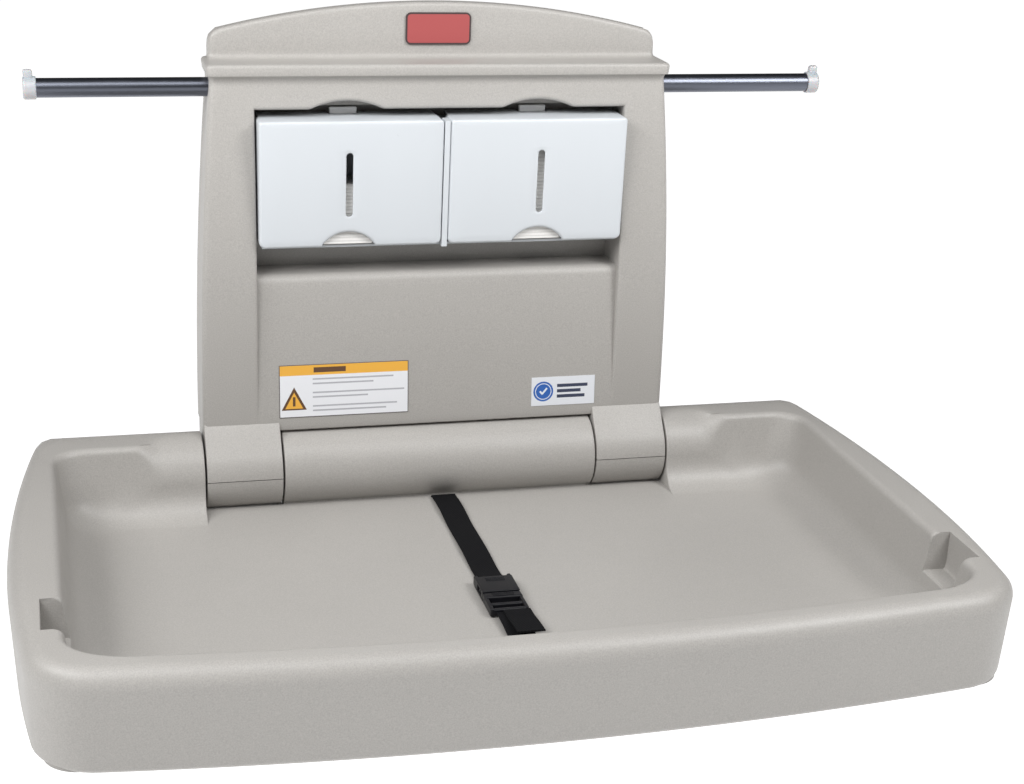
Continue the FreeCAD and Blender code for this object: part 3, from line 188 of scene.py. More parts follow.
def put(name, surface, finish, sharp=32, lift=RIM):
    """A mesh object in metres from a surface in millimetres, its doubles merged and shaded smooth."""
    points = (np.concatenate(surface.points) + (0, 0, lift)) * 0.001
    quads = np.concatenate(surface.quads) if surface.quads else np.zeros((0, 4), int)
    mesh = bpy.data.meshes.new(name)
    mesh.from_pydata(points.tolist(), [], quads.tolist() + surface.caps)
    work = bmesh.new()
    work.from_mesh(mesh)
    bmesh.ops.remove_doubles(work, verts=work.verts, dist=2e-6)
    bmesh.ops.dissolve_degenerate(work, edges=work.edges, dist=1e-7)
    work.to_mesh(mesh)
    work.free()
    mesh.shade_smooth()
    mesh.set_sharp_from_angle(angle=math.radians(sharp))
    mesh.materials.append(FINISHES[finish]())
    thing = bpy.data.objects.new(name, mesh)
    bpy.context.scene.collection.objects.link(thing)
    return thing


def walled(thing, thickness):
    """Give an open moulding its wall, inwards from its faces."""
    skin = thing.modifiers.new("wall", "SOLIDIFY")
    skin.thickness = thickness * 0.001
    skin.offset = -1
    skin.use_quality_normals = True
    return thing


def settle(thing, body, slot, *nodes):
    """Tie a finished piece to its body and hide the frame nodes that it stands for. The slot is not used."""
    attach(thing, body)
    if nodes:
        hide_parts(*nodes)


def turned(profile, axis_y, axis_z, segments=64):
    """A lathe about a line along X: each (x, radius) of the profile carried round a circle."""
    profile = np.asarray(profile, float)
    angle = np.linspace(0, 2 * math.pi, segments, endpoint=False)
    x = np.repeat(profile[:, :1], segments, 1)
    surface = Surface()
    surface.grid(np.stack([
        x, axis_y + profile[:, 1:] * np.cos(angle), axis_z + profile[:, 1:] * np.sin(angle)], -1),
        loop=True)
    return surface


def block(low, high, radius, steps=5):
    """A rounded block: each point of a cube's faces pushed out by the radius from the inner box."""
    low, high = np.asarray(low, float), np.asarray(high, float)
    half, middle = (high - low) / 2, (high + low) / 2
    rise = radius * np.tan(np.linspace(math.pi / 4, 0, steps))
    surface = Surface()
    for axis in range(3):
        first, second = [n for n in range(3) if n != axis]
        lines = []
        for n in (first, second):
            flat = half[n] - radius
            lines.append(np.concatenate([-flat - rise, flat + rise[::-1]]))
        u, v = np.meshgrid(*lines, indexing="ij")
        for side in (-1, 1):
            face = np.zeros(u.shape + (3,))
            face[..., first], face[..., second], face[..., axis] = u, v, side * half[axis]
            core = np.clip(face, -half + radius, half - radius)
            out = face - core
            out *= radius / np.maximum(np.linalg.norm(out, axis=-1, keepdims=True), 1e-9)
            surface.grid(middle + core + out, flip=(side < 0) ^ (axis == 1) ^ True)
    return surface


def closed_normals(profile):
    """Outward directions in the plane of a closed profile that runs clockwise or the other way."""
    ahead = np.roll(profile, -1, 0) - profile
    ahead /= np.maximum(np.linalg.norm(ahead, axis=1, keepdims=True), 1e-9)
    behind = np.roll(ahead, 1, 0)
    out = np.column_stack([ahead[:, 1] + behind[:, 1], -ahead[:, 0] - behind[:, 0]])
    out /= np.maximum(np.linalg.norm(out, axis=1, keepdims=True), 1e-9)
    area = np.sum(profile[:, 0] * np.roll(profile[:, 1], -1) - profile[:, 1] * np.roll(profile[:, 0], -1))
    return out * np.sign(area)


def prism(profile, low, high, radius):
    """A closed profile (y, z) carried along X, its two ends rounded and capped flat."""
    out = closed_normals(profile)
    across = round_steps(radius, 5)
    fall = radius - np.sqrt(radius ** 2 - np.minimum(across, radius) ** 2)
    x = np.concatenate([low + radius - across[::-1], high - radius + across])
    fall = np.concatenate([fall[::-1], fall])
    ring = profile[None] - out[None] * fall[:, None, None]
    points = np.concatenate([np.repeat(x[:, None, None], len(profile), 1), ring], -1)
    surface = Surface()
    surface.grid(points, loop=True)
    surface.cap(points[0])
    surface.cap(points[-1], flip=True)
    return surface


# ------------------------------------------------------------------ the bed's moulding

def side_half(y):
    """Half width of the bed at y: two arcs that meet at the widest place."""
    past = y + 320
    bow = np.where(past > 0, 1600.0, 1180.0)
    return BED_HALF - bow + np.sqrt(bow * bow - past * past)


def front_line(x):
    """The bed's front at x: one shallow arc."""
    bow = 2983.0
    return -BED_FRONT + bow - np.sqrt(bow * bow - x * x)


def outside_bed(points):
    """Outside distance of the bed's blank: drafted sides and front, top, rear roll, heel and base."""
    x, y, z = points[..., 0], points[..., 1], points[..., 2]
    lean = -z * math.tan(math.radians(3))
    plan = round_meet(np.abs(x) - side_half(y) + lean, front_line(x) - y + lean, 40)
    back, up = y - AXIS_Y, z - AXIS_Z
    top = z + 0.5 * np.clip((back + 2) / 2, 0, 1)
    roll = np.where(up > 0, np.where(back > 0, np.hypot(back, up) - ROLL, top), back - ROLL)
    heel = (33 * (y - AXIS_Y + AXIS_Z) - 20 * (z + 55)) / math.hypot(33, 20)
    end = np.maximum(np.maximum(roll, heel), -BED_DEEP - z)
    return round_meet(plan, end, np.interp(z, [-70, -26], [BASE_EDGE, RIM_EDGE]))


def well_front(x):
    """The well's front edge at x, parallel to the bed's front."""
    return front_line(x) + BED_FRONT - WELL["front"]


WELL = {"half": 378.5, "rear": 80, "front": 525, "rear_corner": 28, "front_corner": 58,
        "deep": 72, "wall_lean": math.radians(8.5), "lip": 7, "fillet": 30, "reach": 41}


def bed_columns():
    """Stations round the right half of the rim, from the rear's middle to the front's middle.

    Each has the rim's inner edge, the way out from it, how far out the rim's middle is, the outer
    edge's radius, where the floor begins, and how deep the notch and the bar's pocket are.
    """
    w = WELL
    notch_in, notch_out, edge = 159.0, 237.0, 1.4
    bend = edge * (1 - np.sin(np.radians([0, 30, 60, 90])))
    rear_x = np.concatenate([
        np.linspace(0, 150, 9), notch_in - bend, [notch_in + 0.02],
        np.linspace(notch_in + 4, notch_out - 4, 6), [notch_out - 0.02], notch_out + bend[::-1],
        np.arange(242, 350, 3.0)])
    along = np.linspace(-108, -467, 60)
    pocket_rear, pocket_front, ease = -401.0, -456.0, 2.2
    lip = ease * (1 - np.sin(np.radians([0, 30, 60, 90])))
    along = along[(along > pocket_rear + 4) | (along < pocket_front - 4)]
    side_y = np.sort(np.concatenate([
        along, pocket_rear + lip, [pocket_rear - 0.03], np.linspace(pocket_rear - 5, pocket_front + 5, 5),
        [pocket_front + 0.03], pocket_front - lip]))[::-1]
    turn_rear = np.radians(np.linspace(90, 0, 13))[:-1]
    turn_front = np.radians(np.linspace(0, -90, 19))[1:]
    front_x = np.linspace(w["half"] - w["front_corner"], 0, 30)[1:]
    rows = []
    floor_half = w["half"] - w["reach"]
    turn_x = w["half"] - w["front_corner"]
    low_edge = well_front(turn_x)
    low_foot = low_edge + w["reach"] + 24
    for x in rear_x:
        floor_x = np.interp(x, [0, 245, 350.5], [0, 245, floor_half - 30])
        notch = edge_drop(min(x - notch_in, notch_out - x) + edge, edge)
        rows.append((x, -w["rear"], 0, 1, w["rear"] + AXIS_Y, ROLL, floor_x, -w["rear"] - w["reach"], notch, 0))
    corner = np.array([w["half"] - w["rear_corner"], -w["rear"] - w["rear_corner"]])
    floor_corner = np.array([floor_half - 30, -w["rear"] - w["reach"] - 30])
    for turn in turn_rear:
        out = np.array([math.cos(turn), math.sin(turn)])
        spot, foot = corner + w["rear_corner"] * out, floor_corner + 30 * out
        share = 1 - turn / (math.pi / 2)
        middle = mixed(w["rear"] + AXIS_Y, (side_half(corner[1]) - w["half"]) / 2, share)
        rows.append((*spot, *out, middle, mixed(ROLL, RIM_EDGE, share), *foot, 0, 0))
    for y in side_y:
        middle = (side_half(y) - w["half"]) / 2
        foot_y = np.interp(y, [side_y[-1], -380, -108], [low_foot, -380, floor_corner[1]])
        pocket = edge_drop(min(pocket_rear - y, y - pocket_front) + ease, ease)
        rows.append((w["half"], y, 1, 0, middle, RIM_EDGE, floor_half, foot_y, 0, pocket))
    corner = np.array([turn_x, side_y[-1]])
    sweep = np.array([w["front_corner"], corner[1] - low_edge])
    floor_corner = np.array([floor_half - 24, low_foot])
    for turn in turn_front:
        out = np.array([math.cos(turn), math.sin(turn)])
        share = -turn / (math.pi / 2)
        wide = (side_half(corner[1]) - w["half"]) / 2
        thin = (low_edge - front_line(corner[0])) / 2
        middle = mixed(wide, thin, share) + 4 * math.sin(2 * share * math.pi / 2)
        rows.append((*(corner + sweep * out), *out, middle, RIM_EDGE,
                     *(floor_corner + 24 * out), 0, 0))
    for x in front_x:
        edge_y = well_front(x)
        rows.append((x, edge_y, 0, -1, (edge_y - front_line(x)) / 2, RIM_EDGE, x * floor_corner[0] / corner[0],
                     edge_y + w["reach"], 0, 0))
    return np.array(rows, float)


FLAT_ROWS, LIP_ROWS, WALL_ROWS, FOOT_ROWS = 4, 8, 7, 11
INNER_ROWS = FLAT_ROWS + LIP_ROWS + WALL_ROWS + FOOT_ROWS + 1


def outer_rows(columns):
    """The blank's skin: from the base's rounded edge up the side and over the rolled edge.

    Rays leave lines inside the blank and end on its outside: straight down or up for the flats,
    level for the side, and fanned about the centre of each rounded edge.
    """
    out, middle, bend = columns[:, 2:4], columns[:, 4], columns[:, 5]
    level = np.column_stack([out, 0 * middle])

    def inside(along, z):
        plan = columns[:, 0:2] + out * (middle + along)[:, None]
        return np.column_stack([plan, z + 0 * middle])

    def struck(along, z, turn):
        heading = level * math.cos(turn) + (0, 0, math.sin(turn))
        return reached(inside(along, z), heading, outside_bed, 160)

    def width(z):
        return np.linalg.norm(struck(0 * middle, z, 0) - inside(0 * middle, z), axis=1)

    low, high = BASE_EDGE - BED_DEEP, -bend
    low_centre, high_centre = width(low) - BASE_EDGE, np.maximum(width(high) - bend, 0)
    rows = [struck(low_centre, low, turn) for turn in np.radians(np.linspace(-90, 0, 8))]
    rows += [struck(0 * middle, mixed(low, high, share), 0) for share in np.linspace(0, 1, 9)[1:-1]]
    rows += [struck(high_centre, high, turn) for turn in np.radians(np.linspace(0, 90, 13))]
    rows += [struck(high_centre * share, high, math.pi / 2) for share in (0.66, 0.33, 0)]
    return np.array(rows)


def section_points(columns, top, reach, height):
    """Points at a run inwards from the rim's inner edge, and a height; runs may differ by column."""
    edge, foot = columns[:, 0:2], columns[:, 6:8]
    inward = mixed(edge[None], foot[None], (reach / WELL["reach"])[..., None])
    over = (-reach / np.maximum(columns[:, 4], 1e-6))[..., None]
    rimward = mixed(edge[None], top[None, :, 0:2], over)
    plan = np.where((reach > 0)[..., None], inward, rimward)
    return np.concatenate([plan, height[..., None]], -1)


def well_rows(columns, top, pocket=False):
    """The rim's flat, its rounded lip, the leaning wall and the soft foot, down to the floor.

    With pocket, the flat stops short, drops into the bar's pocket and rejoins the wall below it.
    """
    w = WELL
    turn = math.pi / 2 - w["wall_lean"]
    lip_run, foot_run = w["lip"] * math.tan(turn / 2), w["fillet"] * math.tan(turn / 2)
    wall_foot = w["deep"] * math.tan(w["wall_lean"])
    bend = np.linspace(0, turn, LIP_ROWS)
    count = len(columns)

    def spread(values):
        return np.repeat(np.asarray(values, float)[:, None], count, 1)

    share = np.linspace(0, 1, FLAT_ROWS + 1)[1:, None]
    flat = mixed(-columns[None, :, 4], -lip_run, share)
    flat_z = mixed(top[None, :, 2], 0, share) * np.ones_like(flat)
    lip = spread(-lip_run + w["lip"] * np.sin(bend))
    lip_z = spread(-w["lip"] + w["lip"] * np.cos(bend))
    sweep = np.linspace(turn, 0, FOOT_ROWS)
    foot = wall_foot + foot_run - w["fillet"] * np.sin(sweep)
    foot_z = -w["deep"] + w["fillet"] * (1 - np.cos(sweep))
    wall_z = np.linspace(lip_z[-1, 0], foot_z[0], WALL_ROWS + 2)[1:-1]
    wall = -wall_z * math.tan(w["wall_lean"])
    if pocket:
        back, deep = -17.0, -36.0
        flat = mixed(-columns[None, :, 4], back - 0.5, share)
        lip = spread([back, back + 0.1, back + 0.15, back + 0.2, back + 0.3, back + 0.6, back + 1.4, back + 3])
        lip_z = spread([-0.3, -3, -9, -17, deep + 8, deep + 4, deep + 1.2, deep])
        at_wall = -deep * math.tan(w["wall_lean"])
        wall = np.array([-9.0, -4.0, 1.0, at_wall - 1.5, at_wall, at_wall + 0.3, at_wall + 0.5])
        wall_z = np.array([deep, deep, deep, deep - 0.2, deep - 1.4, deep - 2.4, deep - 3.4])
    reach = np.concatenate([flat, lip, spread(wall), spread(foot), spread([w["reach"]])])
    height = np.concatenate([flat_z, lip_z, spread(wall_z), spread(foot_z), spread([-w["deep"]])])
    return section_points(columns, top, reach, height)


def roll_rows(columns, fillet):
    """The roll from its top, round its front and through a fillet to the floor."""
    radius, deep = ROLL, WELL["deep"]
    fall = deep + AXIS_Z - fillet
    across = math.sqrt((radius + fillet) ** 2 - fall ** 2)
    contact = math.atan2(across, -fall)
    arc_rows = 24 if fillet < 10 else 15
    arc = np.linspace(0, contact, arc_rows)
    y = AXIS_Y - radius * np.sin(arc)
    z = AXIS_Z + radius * np.cos(arc)
    rest = INNER_ROWS - arc_rows - 1
    start = math.atan2(across, fall)
    sweep = np.linspace(start, 0, rest + 1)[1:]
    y = np.concatenate([y, AXIS_Y - across + fillet * np.sin(sweep)])
    z = np.concatenate([z, AXIS_Z - fall - fillet * np.cos(sweep)])
    plan = np.stack([np.repeat(columns[None, :, 0], len(y), 0), np.repeat(y[:, None], len(columns), 1)], -1)
    points = np.concatenate([plan, np.repeat(z[:, None], len(columns), 1)[..., None]], -1)
    foot = np.column_stack([columns[:, 6:8], np.full(len(columns), -deep)])
    return np.concatenate([points, foot[None]])


def notch_rows(columns, outer_count):
    """The bare clearance for a knuckle: back under it, up, and forwards round the drum."""
    clear, ahead, deep = ROLL + 2, 1, WELL["deep"]
    low = AXIS_Z - math.sqrt(clear ** 2 - ahead ** 2)
    arc = np.linspace(math.asin(ahead / clear), math.acos((deep + AXIS_Z) / clear), 25)
    under = outer_count // 2
    rise = outer_count - under
    y = np.concatenate([
        np.linspace(AXIS_Y - 21, AXIS_Y - ahead, under), np.full(rise, AXIS_Y - ahead),
        AXIS_Y - clear * np.sin(arc)])
    z = np.concatenate([
        np.full(under, 0.1 - BED_DEEP), np.linspace(1 - BED_DEEP, low - 0.2, rise),
        AXIS_Z - clear * np.cos(arc)])
    rest = outer_count + INNER_ROWS - len(y)
    y = np.concatenate([y, y[-1] - np.linspace(0, 1, rest)[:-1] * 4, [-WELL["rear"] - WELL["reach"]]])
    z = np.concatenate([z, np.full(rest, -deep)])
    plan = np.repeat(np.array([y, z]).T[:, None], len(columns), 1)
    return np.concatenate([np.repeat(columns[None, :, :1], len(y), 0), plan], -1)


def bed_half_grid():
    """Rows by columns of the bed's right half, from the base's lip to the floor."""
    columns = bed_columns()
    outer = outer_rows(columns)
    top = outer[-1]
    inner = carved(well_rows(columns, top), well_rows(columns, top, pocket=True), columns[:, 9])
    rear = (columns[:, 3] == 1)
    hard, soft = roll_rows(columns, 1.0), roll_rows(columns, 28.0)
    soft[..., 0] = inner[..., 0]
    rolled = np.where((columns[:, 0] > 200)[None, :, None], soft, hard)
    turn_at = np.interp(np.arange(INNER_ROWS), [0, 4, 12, 16, 30], [278, 288, 292, 312, 352])[:, None]
    share = eased((turn_at + 13 - columns[None, :, 0]) / 26) * rear
    inner = mixed(inner, rolled, share[..., None])
    whole = np.concatenate([outer, inner])
    return carved(whole, notch_rows(columns, len(outer)), columns[:, 8])


def bed_surface():
    """The whole moulding: the right half, its mirror image and the flat floor as one face."""
    half = bed_half_grid()
    left = (half * (-1, 1, 1))[:, ::-1]
    ring = np.concatenate([half[:, :-1], left[:, :-1]], 1)
    surface = Surface()
    surface.grid(ring, loop=True, flip=True)
    surface.cap(ring[-1], flip=True)
    return surface


# ------------------------------------------------------------------ the wall panel

PANEL = {"foot_half": 235.8, "foot_out": 60, "round": 5, "niche_half": 181.5, "sill": 158, "head": 319,
         "back": 12, "inset": 8.5, "inset_from": 12, "scoop_at": 94, "scoop_round": 80.6, "scoop_rise": 8,
         "scoop_back": 26, "ledge": 351, "ledge_half": 225.8, "ledge_out": 54, "crown_half": 220.5,
         "crown_out": 14.9, "crown_top": 415, "crown_bow": 882, "crown_corner": 14}


def panel_half(z):
    """Half width of the panel, upright at its foot and then bowing in."""
    return PANEL["foot_half"] - 1.27e-4 * np.maximum(z - 20, 0) ** 2


def panel_out(z):
    """How far the panel's front stands out, upright at its foot and then bowing back."""
    return PANEL["foot_out"] - np.maximum(z - 100, 0) ** 2 / 5040


def scoop(x):
    """Height of the finger scoops over the niche's head: two arcs."""
    bow, rise = PANEL["scoop_round"], PANEL["scoop_rise"]
    past = np.abs(np.abs(x) - PANEL["scoop_at"])
    return np.maximum(np.sqrt(np.maximum(bow ** 2 - past ** 2, 0)) - bow + rise, 0)


def crown_line(x):
    """Top of the crown at x: a wide arc, and a small one at each corner."""
    p = PANEL
    arc = p["crown_top"] - p["crown_bow"] + np.sqrt(p["crown_bow"] ** 2 - x ** 2)
    start = p["crown_half"] - p["crown_corner"]
    past = np.clip(np.abs(x) - start + 2, 0, p["crown_corner"] + 2)
    corner = 375 + np.sqrt(np.maximum((p["crown_corner"] + 2) ** 2 - past ** 2, 0))
    return np.where(np.abs(x) > start - 2, np.minimum(arc, corner), arc)


def panel_rows():
    """The rows up the panel: height, half width, stand-out, warp with the scoops, how deep the niche's
    edge has dropped, and where the niche's own surface lies (out, height, warp)."""
    p = PANEL
    rows = []

    def row(z, half, out, warp=0.0, drop=0.0, inner=(0.0, 0.0, 0.0)):
        rows.append((z, half, out, warp, drop, *inner))

    def face(z, **more):
        row(z, panel_half(z), panel_out(z), **more)

    foot = 1.5
    row(foot, p["foot_half"] - 1.5, 3.6)
    row(foot, p["foot_half"] - 1.5, p["foot_out"] - 1.5)
    for turn in np.radians([30, 60, 90]):
        shy = 1.5 * (1 - math.sin(turn))
        row(foot + 1.5 - 1.5 * math.cos(turn), p["foot_half"] - shy, p["foot_out"] - shy)
    for z in (8, 12, 24, 40, 60, 80, 100, 115, 130, 142):
        face(z)
    sill = 8
    for turn in np.radians([0, 20, 40, 60, 75, 90]):
        face(p["sill"] - sill + sill * math.sin(turn), drop=sill * (1 - math.cos(turn)))
    niche = p["back"]
    face(p["sill"] + 0.01, drop=CLIFF, inner=(niche, p["sill"], 0))
    for z in np.linspace(p["sill"] + 1, p["head"] - 3, 12):
        face(z, drop=CLIFF, inner=(niche, z, 0))
    face(p["head"] - 2, warp=0.9, drop=CLIFF, inner=(niche, p["head"], 0))
    face(p["head"] - 1, warp=0.95, drop=CLIFF, inner=(p["scoop_back"], p["head"], 0))
    face(p["head"] - 0.02, warp=1, drop=CLIFF, inner=(p["scoop_back"], p["head"], 1))
    lip = 3.6
    for turn in np.radians([90, 67, 45, 22, 0]):
        face(p["head"] + lip * (1 - math.sin(turn)), warp=1, drop=lip * (1 - math.cos(turn)))
    for z, warp in ((326, 0.75), (331, 0.45), (336, 0.2), (342, 0)):
        face(z, warp=warp)
    under = panel_out(345.0)
    for z, out, half in ((345, 0, 0), (347.6, 0.5, 0.2), (349.4, 1.6, 0.7), (350.5, 3.2, 1.4), (351, 5.2, 2.0),
                         (351.4, 6.0, 2.4), (352.4, 6.4, 2.6)):
        row(z, panel_half(345.0) + half, under + out - 0.4)
    edge = 3.4
    for turn in np.radians([0, 22, 45, 67, 90]):
        shy = edge * (1 - math.cos(turn))
        row(362 - edge + edge * math.sin(turn), p["ledge_half"] - shy, p["ledge_out"] - shy)
    for out, z in ((40, 362.1), (28, 362.2), (20, 362.4), (17, 363.3), (15.5, 364.8), (15, 366.5)):
        share = (out - 15) / (50.6 - 15)
        row(z, mixed(p["crown_half"], p["ledge_half"] - edge, share), out)
    for share in np.linspace(0.1, 1, 8):
        row(share, p["crown_half"], p["crown_out"], warp=-1)
    for turn in np.radians([20, 40, 60, 80, 90]):
        row(1, p["crown_half"] - 2 * (1 - math.cos(turn)), p["crown_out"] - 4 * (1 - math.cos(turn)),
            warp=-2 - 4 * math.sin(turn))
    row(1, p["crown_half"] - 2, 0.6, warp=-6)
    return np.array(rows)


def panel_columns():
    """Places across the right half of the panel's front, crowded at the niche's edge and the scoops."""
    p = PANEL
    edge = 2.2
    cheek = p["niche_half"] + edge - round_steps(edge, 4)[::-1]
    scoops = np.arange(p["scoop_at"] - 36, p["scoop_at"] + 37, 3)
    return np.concatenate([
        np.linspace(0, scoops[0], 9)[:-1], scoops, np.linspace(scoops[-1], p["niche_half"] - 1, 10)[1:],
        [p["niche_half"] - 0.02], cheek, [186, 190, 200, 212, 222, 230.8]])


def panel_grid():
    """Rows by columns over the panel's right half: front, corner and side, with the niche sunk in."""
    p = PANEL
    rows = panel_rows()[:, None, :]
    z, half, out, warp, drop = (rows[..., n] for n in range(5))
    x = panel_columns()[None]
    bend = np.minimum(p["round"], out * 0.7)
    last = panel_columns()[-1]
    front_x = np.where(x <= 190, x, 190 + (x - 190) * (half - bend - 190) / (last - 190))
    turn = np.radians([15, 30, 45, 60, 75, 90])[None]
    corner_x = half - bend + bend * np.sin(turn)
    corner_y = -(out - bend) - bend * np.cos(turn)
    along = np.array([0.85, 0.6, 0.3, 0])[None]
    side_x, side_y = half + 0 * along, -(out - bend) * along
    across = np.concatenate([front_x, corner_x, side_x], 1)
    depth = np.concatenate([-out + 0 * front_x, corner_y, side_y], 1)
    crown = crown_line(across)
    base = 366.5
    height = np.select(
        [warp >= 0, warp > -1.5],
        [z + np.maximum(warp, 0) * scoop(across), base + z * (crown - 4 - base)],
        crown - 4 - (warp + 2))
    sill_z = np.clip(z, p["inset_from"], p["sill"])
    inset = p["inset"] * (sill_z - p["inset_from"]) / (p["sill"] - p["inset_from"])
    set_back = np.where(z < p["sill"] + 0.005, inset, 0)
    cheek = edge_drop(p["niche_half"] + 2.2 - across, 2.2)
    sunk = np.minimum(np.where(warp < 0, 0, cheek), np.where(warp < 0, 0, set_back + drop))
    inner_out, inner_z, inner_warp = rows[..., 5], rows[..., 6], rows[..., 7]
    is_inner = (sunk > 1000) & (inner_out > 0)
    depth = np.where(is_inner, -inner_out, depth + np.minimum(sunk, 45))
    height = np.where(is_inner, inner_z + inner_warp * scoop(across), height)
    return np.stack([across, depth, height], -1)


def panel_surface():
    """The cover: both halves of the panel, and the two knuckles that hang from its foot."""
    half = panel_grid()
    left = (half * (-1, 1, 1))[:, ::-1]
    surface = Surface()
    surface.grid(np.concatenate([left[:, :-1], half], 1))
    knuckle = knuckle_surface()
    surface.join(knuckle)
    surface.join(knuckle, mirror=True)
    return surface


KNUCKLE_IN, KNUCKLE_OUT = 161, 235


def knuckle_surface():
    """The upper half of a knuckle: off the panel's foot, tangent to the drum and round to the fold axis."""
    foot_y, foot_z = -PANEL["foot_out"] + 0.02, 10
    run_y, run_z = foot_y - AXIS_Y, foot_z - AXIS_Z
    reach = math.hypot(run_y, run_z)
    touch = math.atan2(run_z, run_y) + math.acos(ROLL / reach)
    arc = np.linspace(touch, math.pi, 14)
    drum = np.column_stack([AXIS_Y + ROLL * np.cos(arc), AXIS_Z + ROLL * np.sin(arc)])
    neck = mixed(np.array([foot_y, foot_z]), drum[0], np.linspace(0, 1, 5)[:, None])[:-1]
    back = np.array([[-3.6, AXIS_Z + 0.6], [-3.6, foot_z + 4], [foot_y + 4, foot_z + 4]])
    drum[-1, 1] += 0.6
    return prism(np.concatenate([neck, drum, back]), KNUCKLE_IN, KNUCKLE_OUT, 1.2)


def cover_surface():
    """The lower half of a knuckle, parted from the upper one by a fine gap."""
    arc = np.linspace(math.pi, 2 * math.pi, 30)
    drum = np.column_stack([AXIS_Y + ROLL * np.cos(arc), AXIS_Z + ROLL * np.sin(arc)])
    drum[[0, -1], 1] -= 0.3
    return prism(drum, KNUCKLE_IN, KNUCKLE_OUT, 1.2)


# ------------------------------------------------------------------ doors, tabs and liners

DOOR = {"low": 189, "high": 311.5, "inner": 3.3, "outer": 179.7, "foot_out": 65, "head_out": 70,
        "middle": 94.0, "slot_half": 3.25, "slot_low": 222.2, "slot_high": 277.8, "thumb_half": 26.5,
        "thumb_high": 14.5, "edge": 2.6, "corner": 6.0, "side_back": 40, "flange_back": 18.5,
        "tab_gap": 15.3, "tab_back": 27.5}


def door_outline():
    """The door seen from the front: (x, z) with how far back its side wall runs, counter-clockwise.

    Straight edges, small corner arcs and the half-moon over the thumb opening.
    """
    d = DOOR
    spots = []

    def line(start, end, count, back):
        share = np.linspace(0, 1, count)
        spots.append(np.column_stack([
            mixed(start[0], end[0], share), mixed(start[1], end[1], share), np.full(count, back)]))

    def arc(x, z, radius, start, end, count, back):
        turn = np.radians(np.linspace(start, end, count))
        spots.append(np.column_stack([
            x + radius * np.cos(turn), z + radius * np.sin(turn), np.full(count, back)]))

    low, high, x0, x1, r, m = d["low"], d["high"], d["inner"], d["outer"], d["corner"], d["middle"]
    half, rise = d["thumb_half"], d["thumb_high"]
    bow = (half ** 2 + rise ** 2) / (2 * rise)
    sweep = math.degrees(math.asin(half / bow))
    foot, side, top = 57, d["side_back"], d["flange_back"]
    line((m + half + 1, low), (x1 - r, low), 14, foot)
    arc(x1 - r, low + r, r, -80, -10, 8, side)
    line((x1, low + r), (x1, high - 3), 16, side)
    arc(x1 - 3, high - 3, 3, 10, 80, 5, side)
    line((x1 - 3, high), (m + d["tab_gap"], high), 12, top)
    line((m + d["tab_gap"] - 0.05, high), (m - d["tab_gap"] + 0.05, high), 8, d["tab_back"])
    line((m - d["tab_gap"], high), (x0 + 3, high), 12, top)
    arc(x0 + 3, high - 3, 3, 100, 170, 5, side)
    line((x0, high - 3), (x0, low + r), 16, side)
    arc(x0 + r, low + r, r, 190, 260, 8, side)
    line((x0 + r, low), (m - half - 1, low), 14, foot)
    arc(m, low + rise - bow, bow, 90 + sweep, 90 - sweep, 27, 0)
    return np.concatenate(spots)


def door_surface():
    """The right door: rings from the sight slot to the outline, a rounded edge, then the side walls.

    The front slopes outwards towards the top. Rings run from the slot to a box halfway out, and from
    there straight on to the outline, so that no two of them cross.
    """
    d = DOOR
    ring = door_outline()
    edge, back = ring[:, :2], ring[:, 2]
    out = closed_normals(edge)
    halfway = np.clip(edge, (d["middle"] - 36, d["slot_low"] - 11), (d["middle"] + 36, d["slot_high"] + 18))
    spine = np.column_stack([np.full(len(edge), d["middle"]), np.clip(halfway[:, 1], d["slot_low"], d["slot_high"])])
    aim = (halfway - spine) / np.linalg.norm(halfway - spine, axis=1, keepdims=True)
    slot = spine + aim * d["slot_half"]
    last = (edge - halfway) / np.linalg.norm(edge - halfway, axis=1, keepdims=True)

    def front(flat):
        share = (flat[..., 1] - d["low"]) / (d["high"] - d["low"])
        return -mixed(d["foot_out"], d["head_out"], share)

    rings, outs = [], []
    slant = last / np.maximum(np.sum(last * out, axis=1, keepdims=True), 0.45)
    inner = edge - slant * d["edge"]
    lip = 0.8
    for turn in np.radians([90, 45, 0]):
        flat = slot + aim * lip * (1 - math.sin(turn))
        rings.append(flat)
        outs.append(front(flat) + lip * (1 - math.cos(turn)))
    for share in (0.25, 0.5, 0.75, 1):
        flat = mixed(slot + aim * lip, halfway, share)
        rings.append(flat)
        outs.append(front(flat))
    for share in (0.33, 0.66, 1):
        flat = mixed(halfway, inner, share)
        rings.append(flat)
        outs.append(front(flat))
    for turn in np.radians([22, 45, 67, 90]):
        flat = inner + slant * d["edge"] * math.sin(turn)
        rings.append(flat)
        outs.append(front(flat) + d["edge"] * (1 - math.cos(turn)))
    rear = np.where(back > 0, -back, front(edge) + d["edge"] + 0.3)
    for share in (0.35, 0.7, 1):
        rings.append(edge)
        outs.append(mixed(front(edge) + d["edge"], rear, share))
    flat = np.array(rings)
    surface = Surface()
    surface.grid(np.stack([flat[..., 0], np.array(outs), flat[..., 1]], -1), loop=True, flip=True)
    return surface


def tab_surface():
    """The right latch tab: its broad plate standing up through the roof, and the shoulder under it."""
    m, half = DOOR["middle"], 13.3
    roof = DOOR["high"] - 6
    surface = block((m - half, -27, roof - 9), (m + half, -22, DOOR["high"] + 5.8), 1.3)
    surface.join(block((m - half - 3, -27.5, roof - 10), (m + half + 3, -20.5, roof - 2.3), 0.8))
    return surface


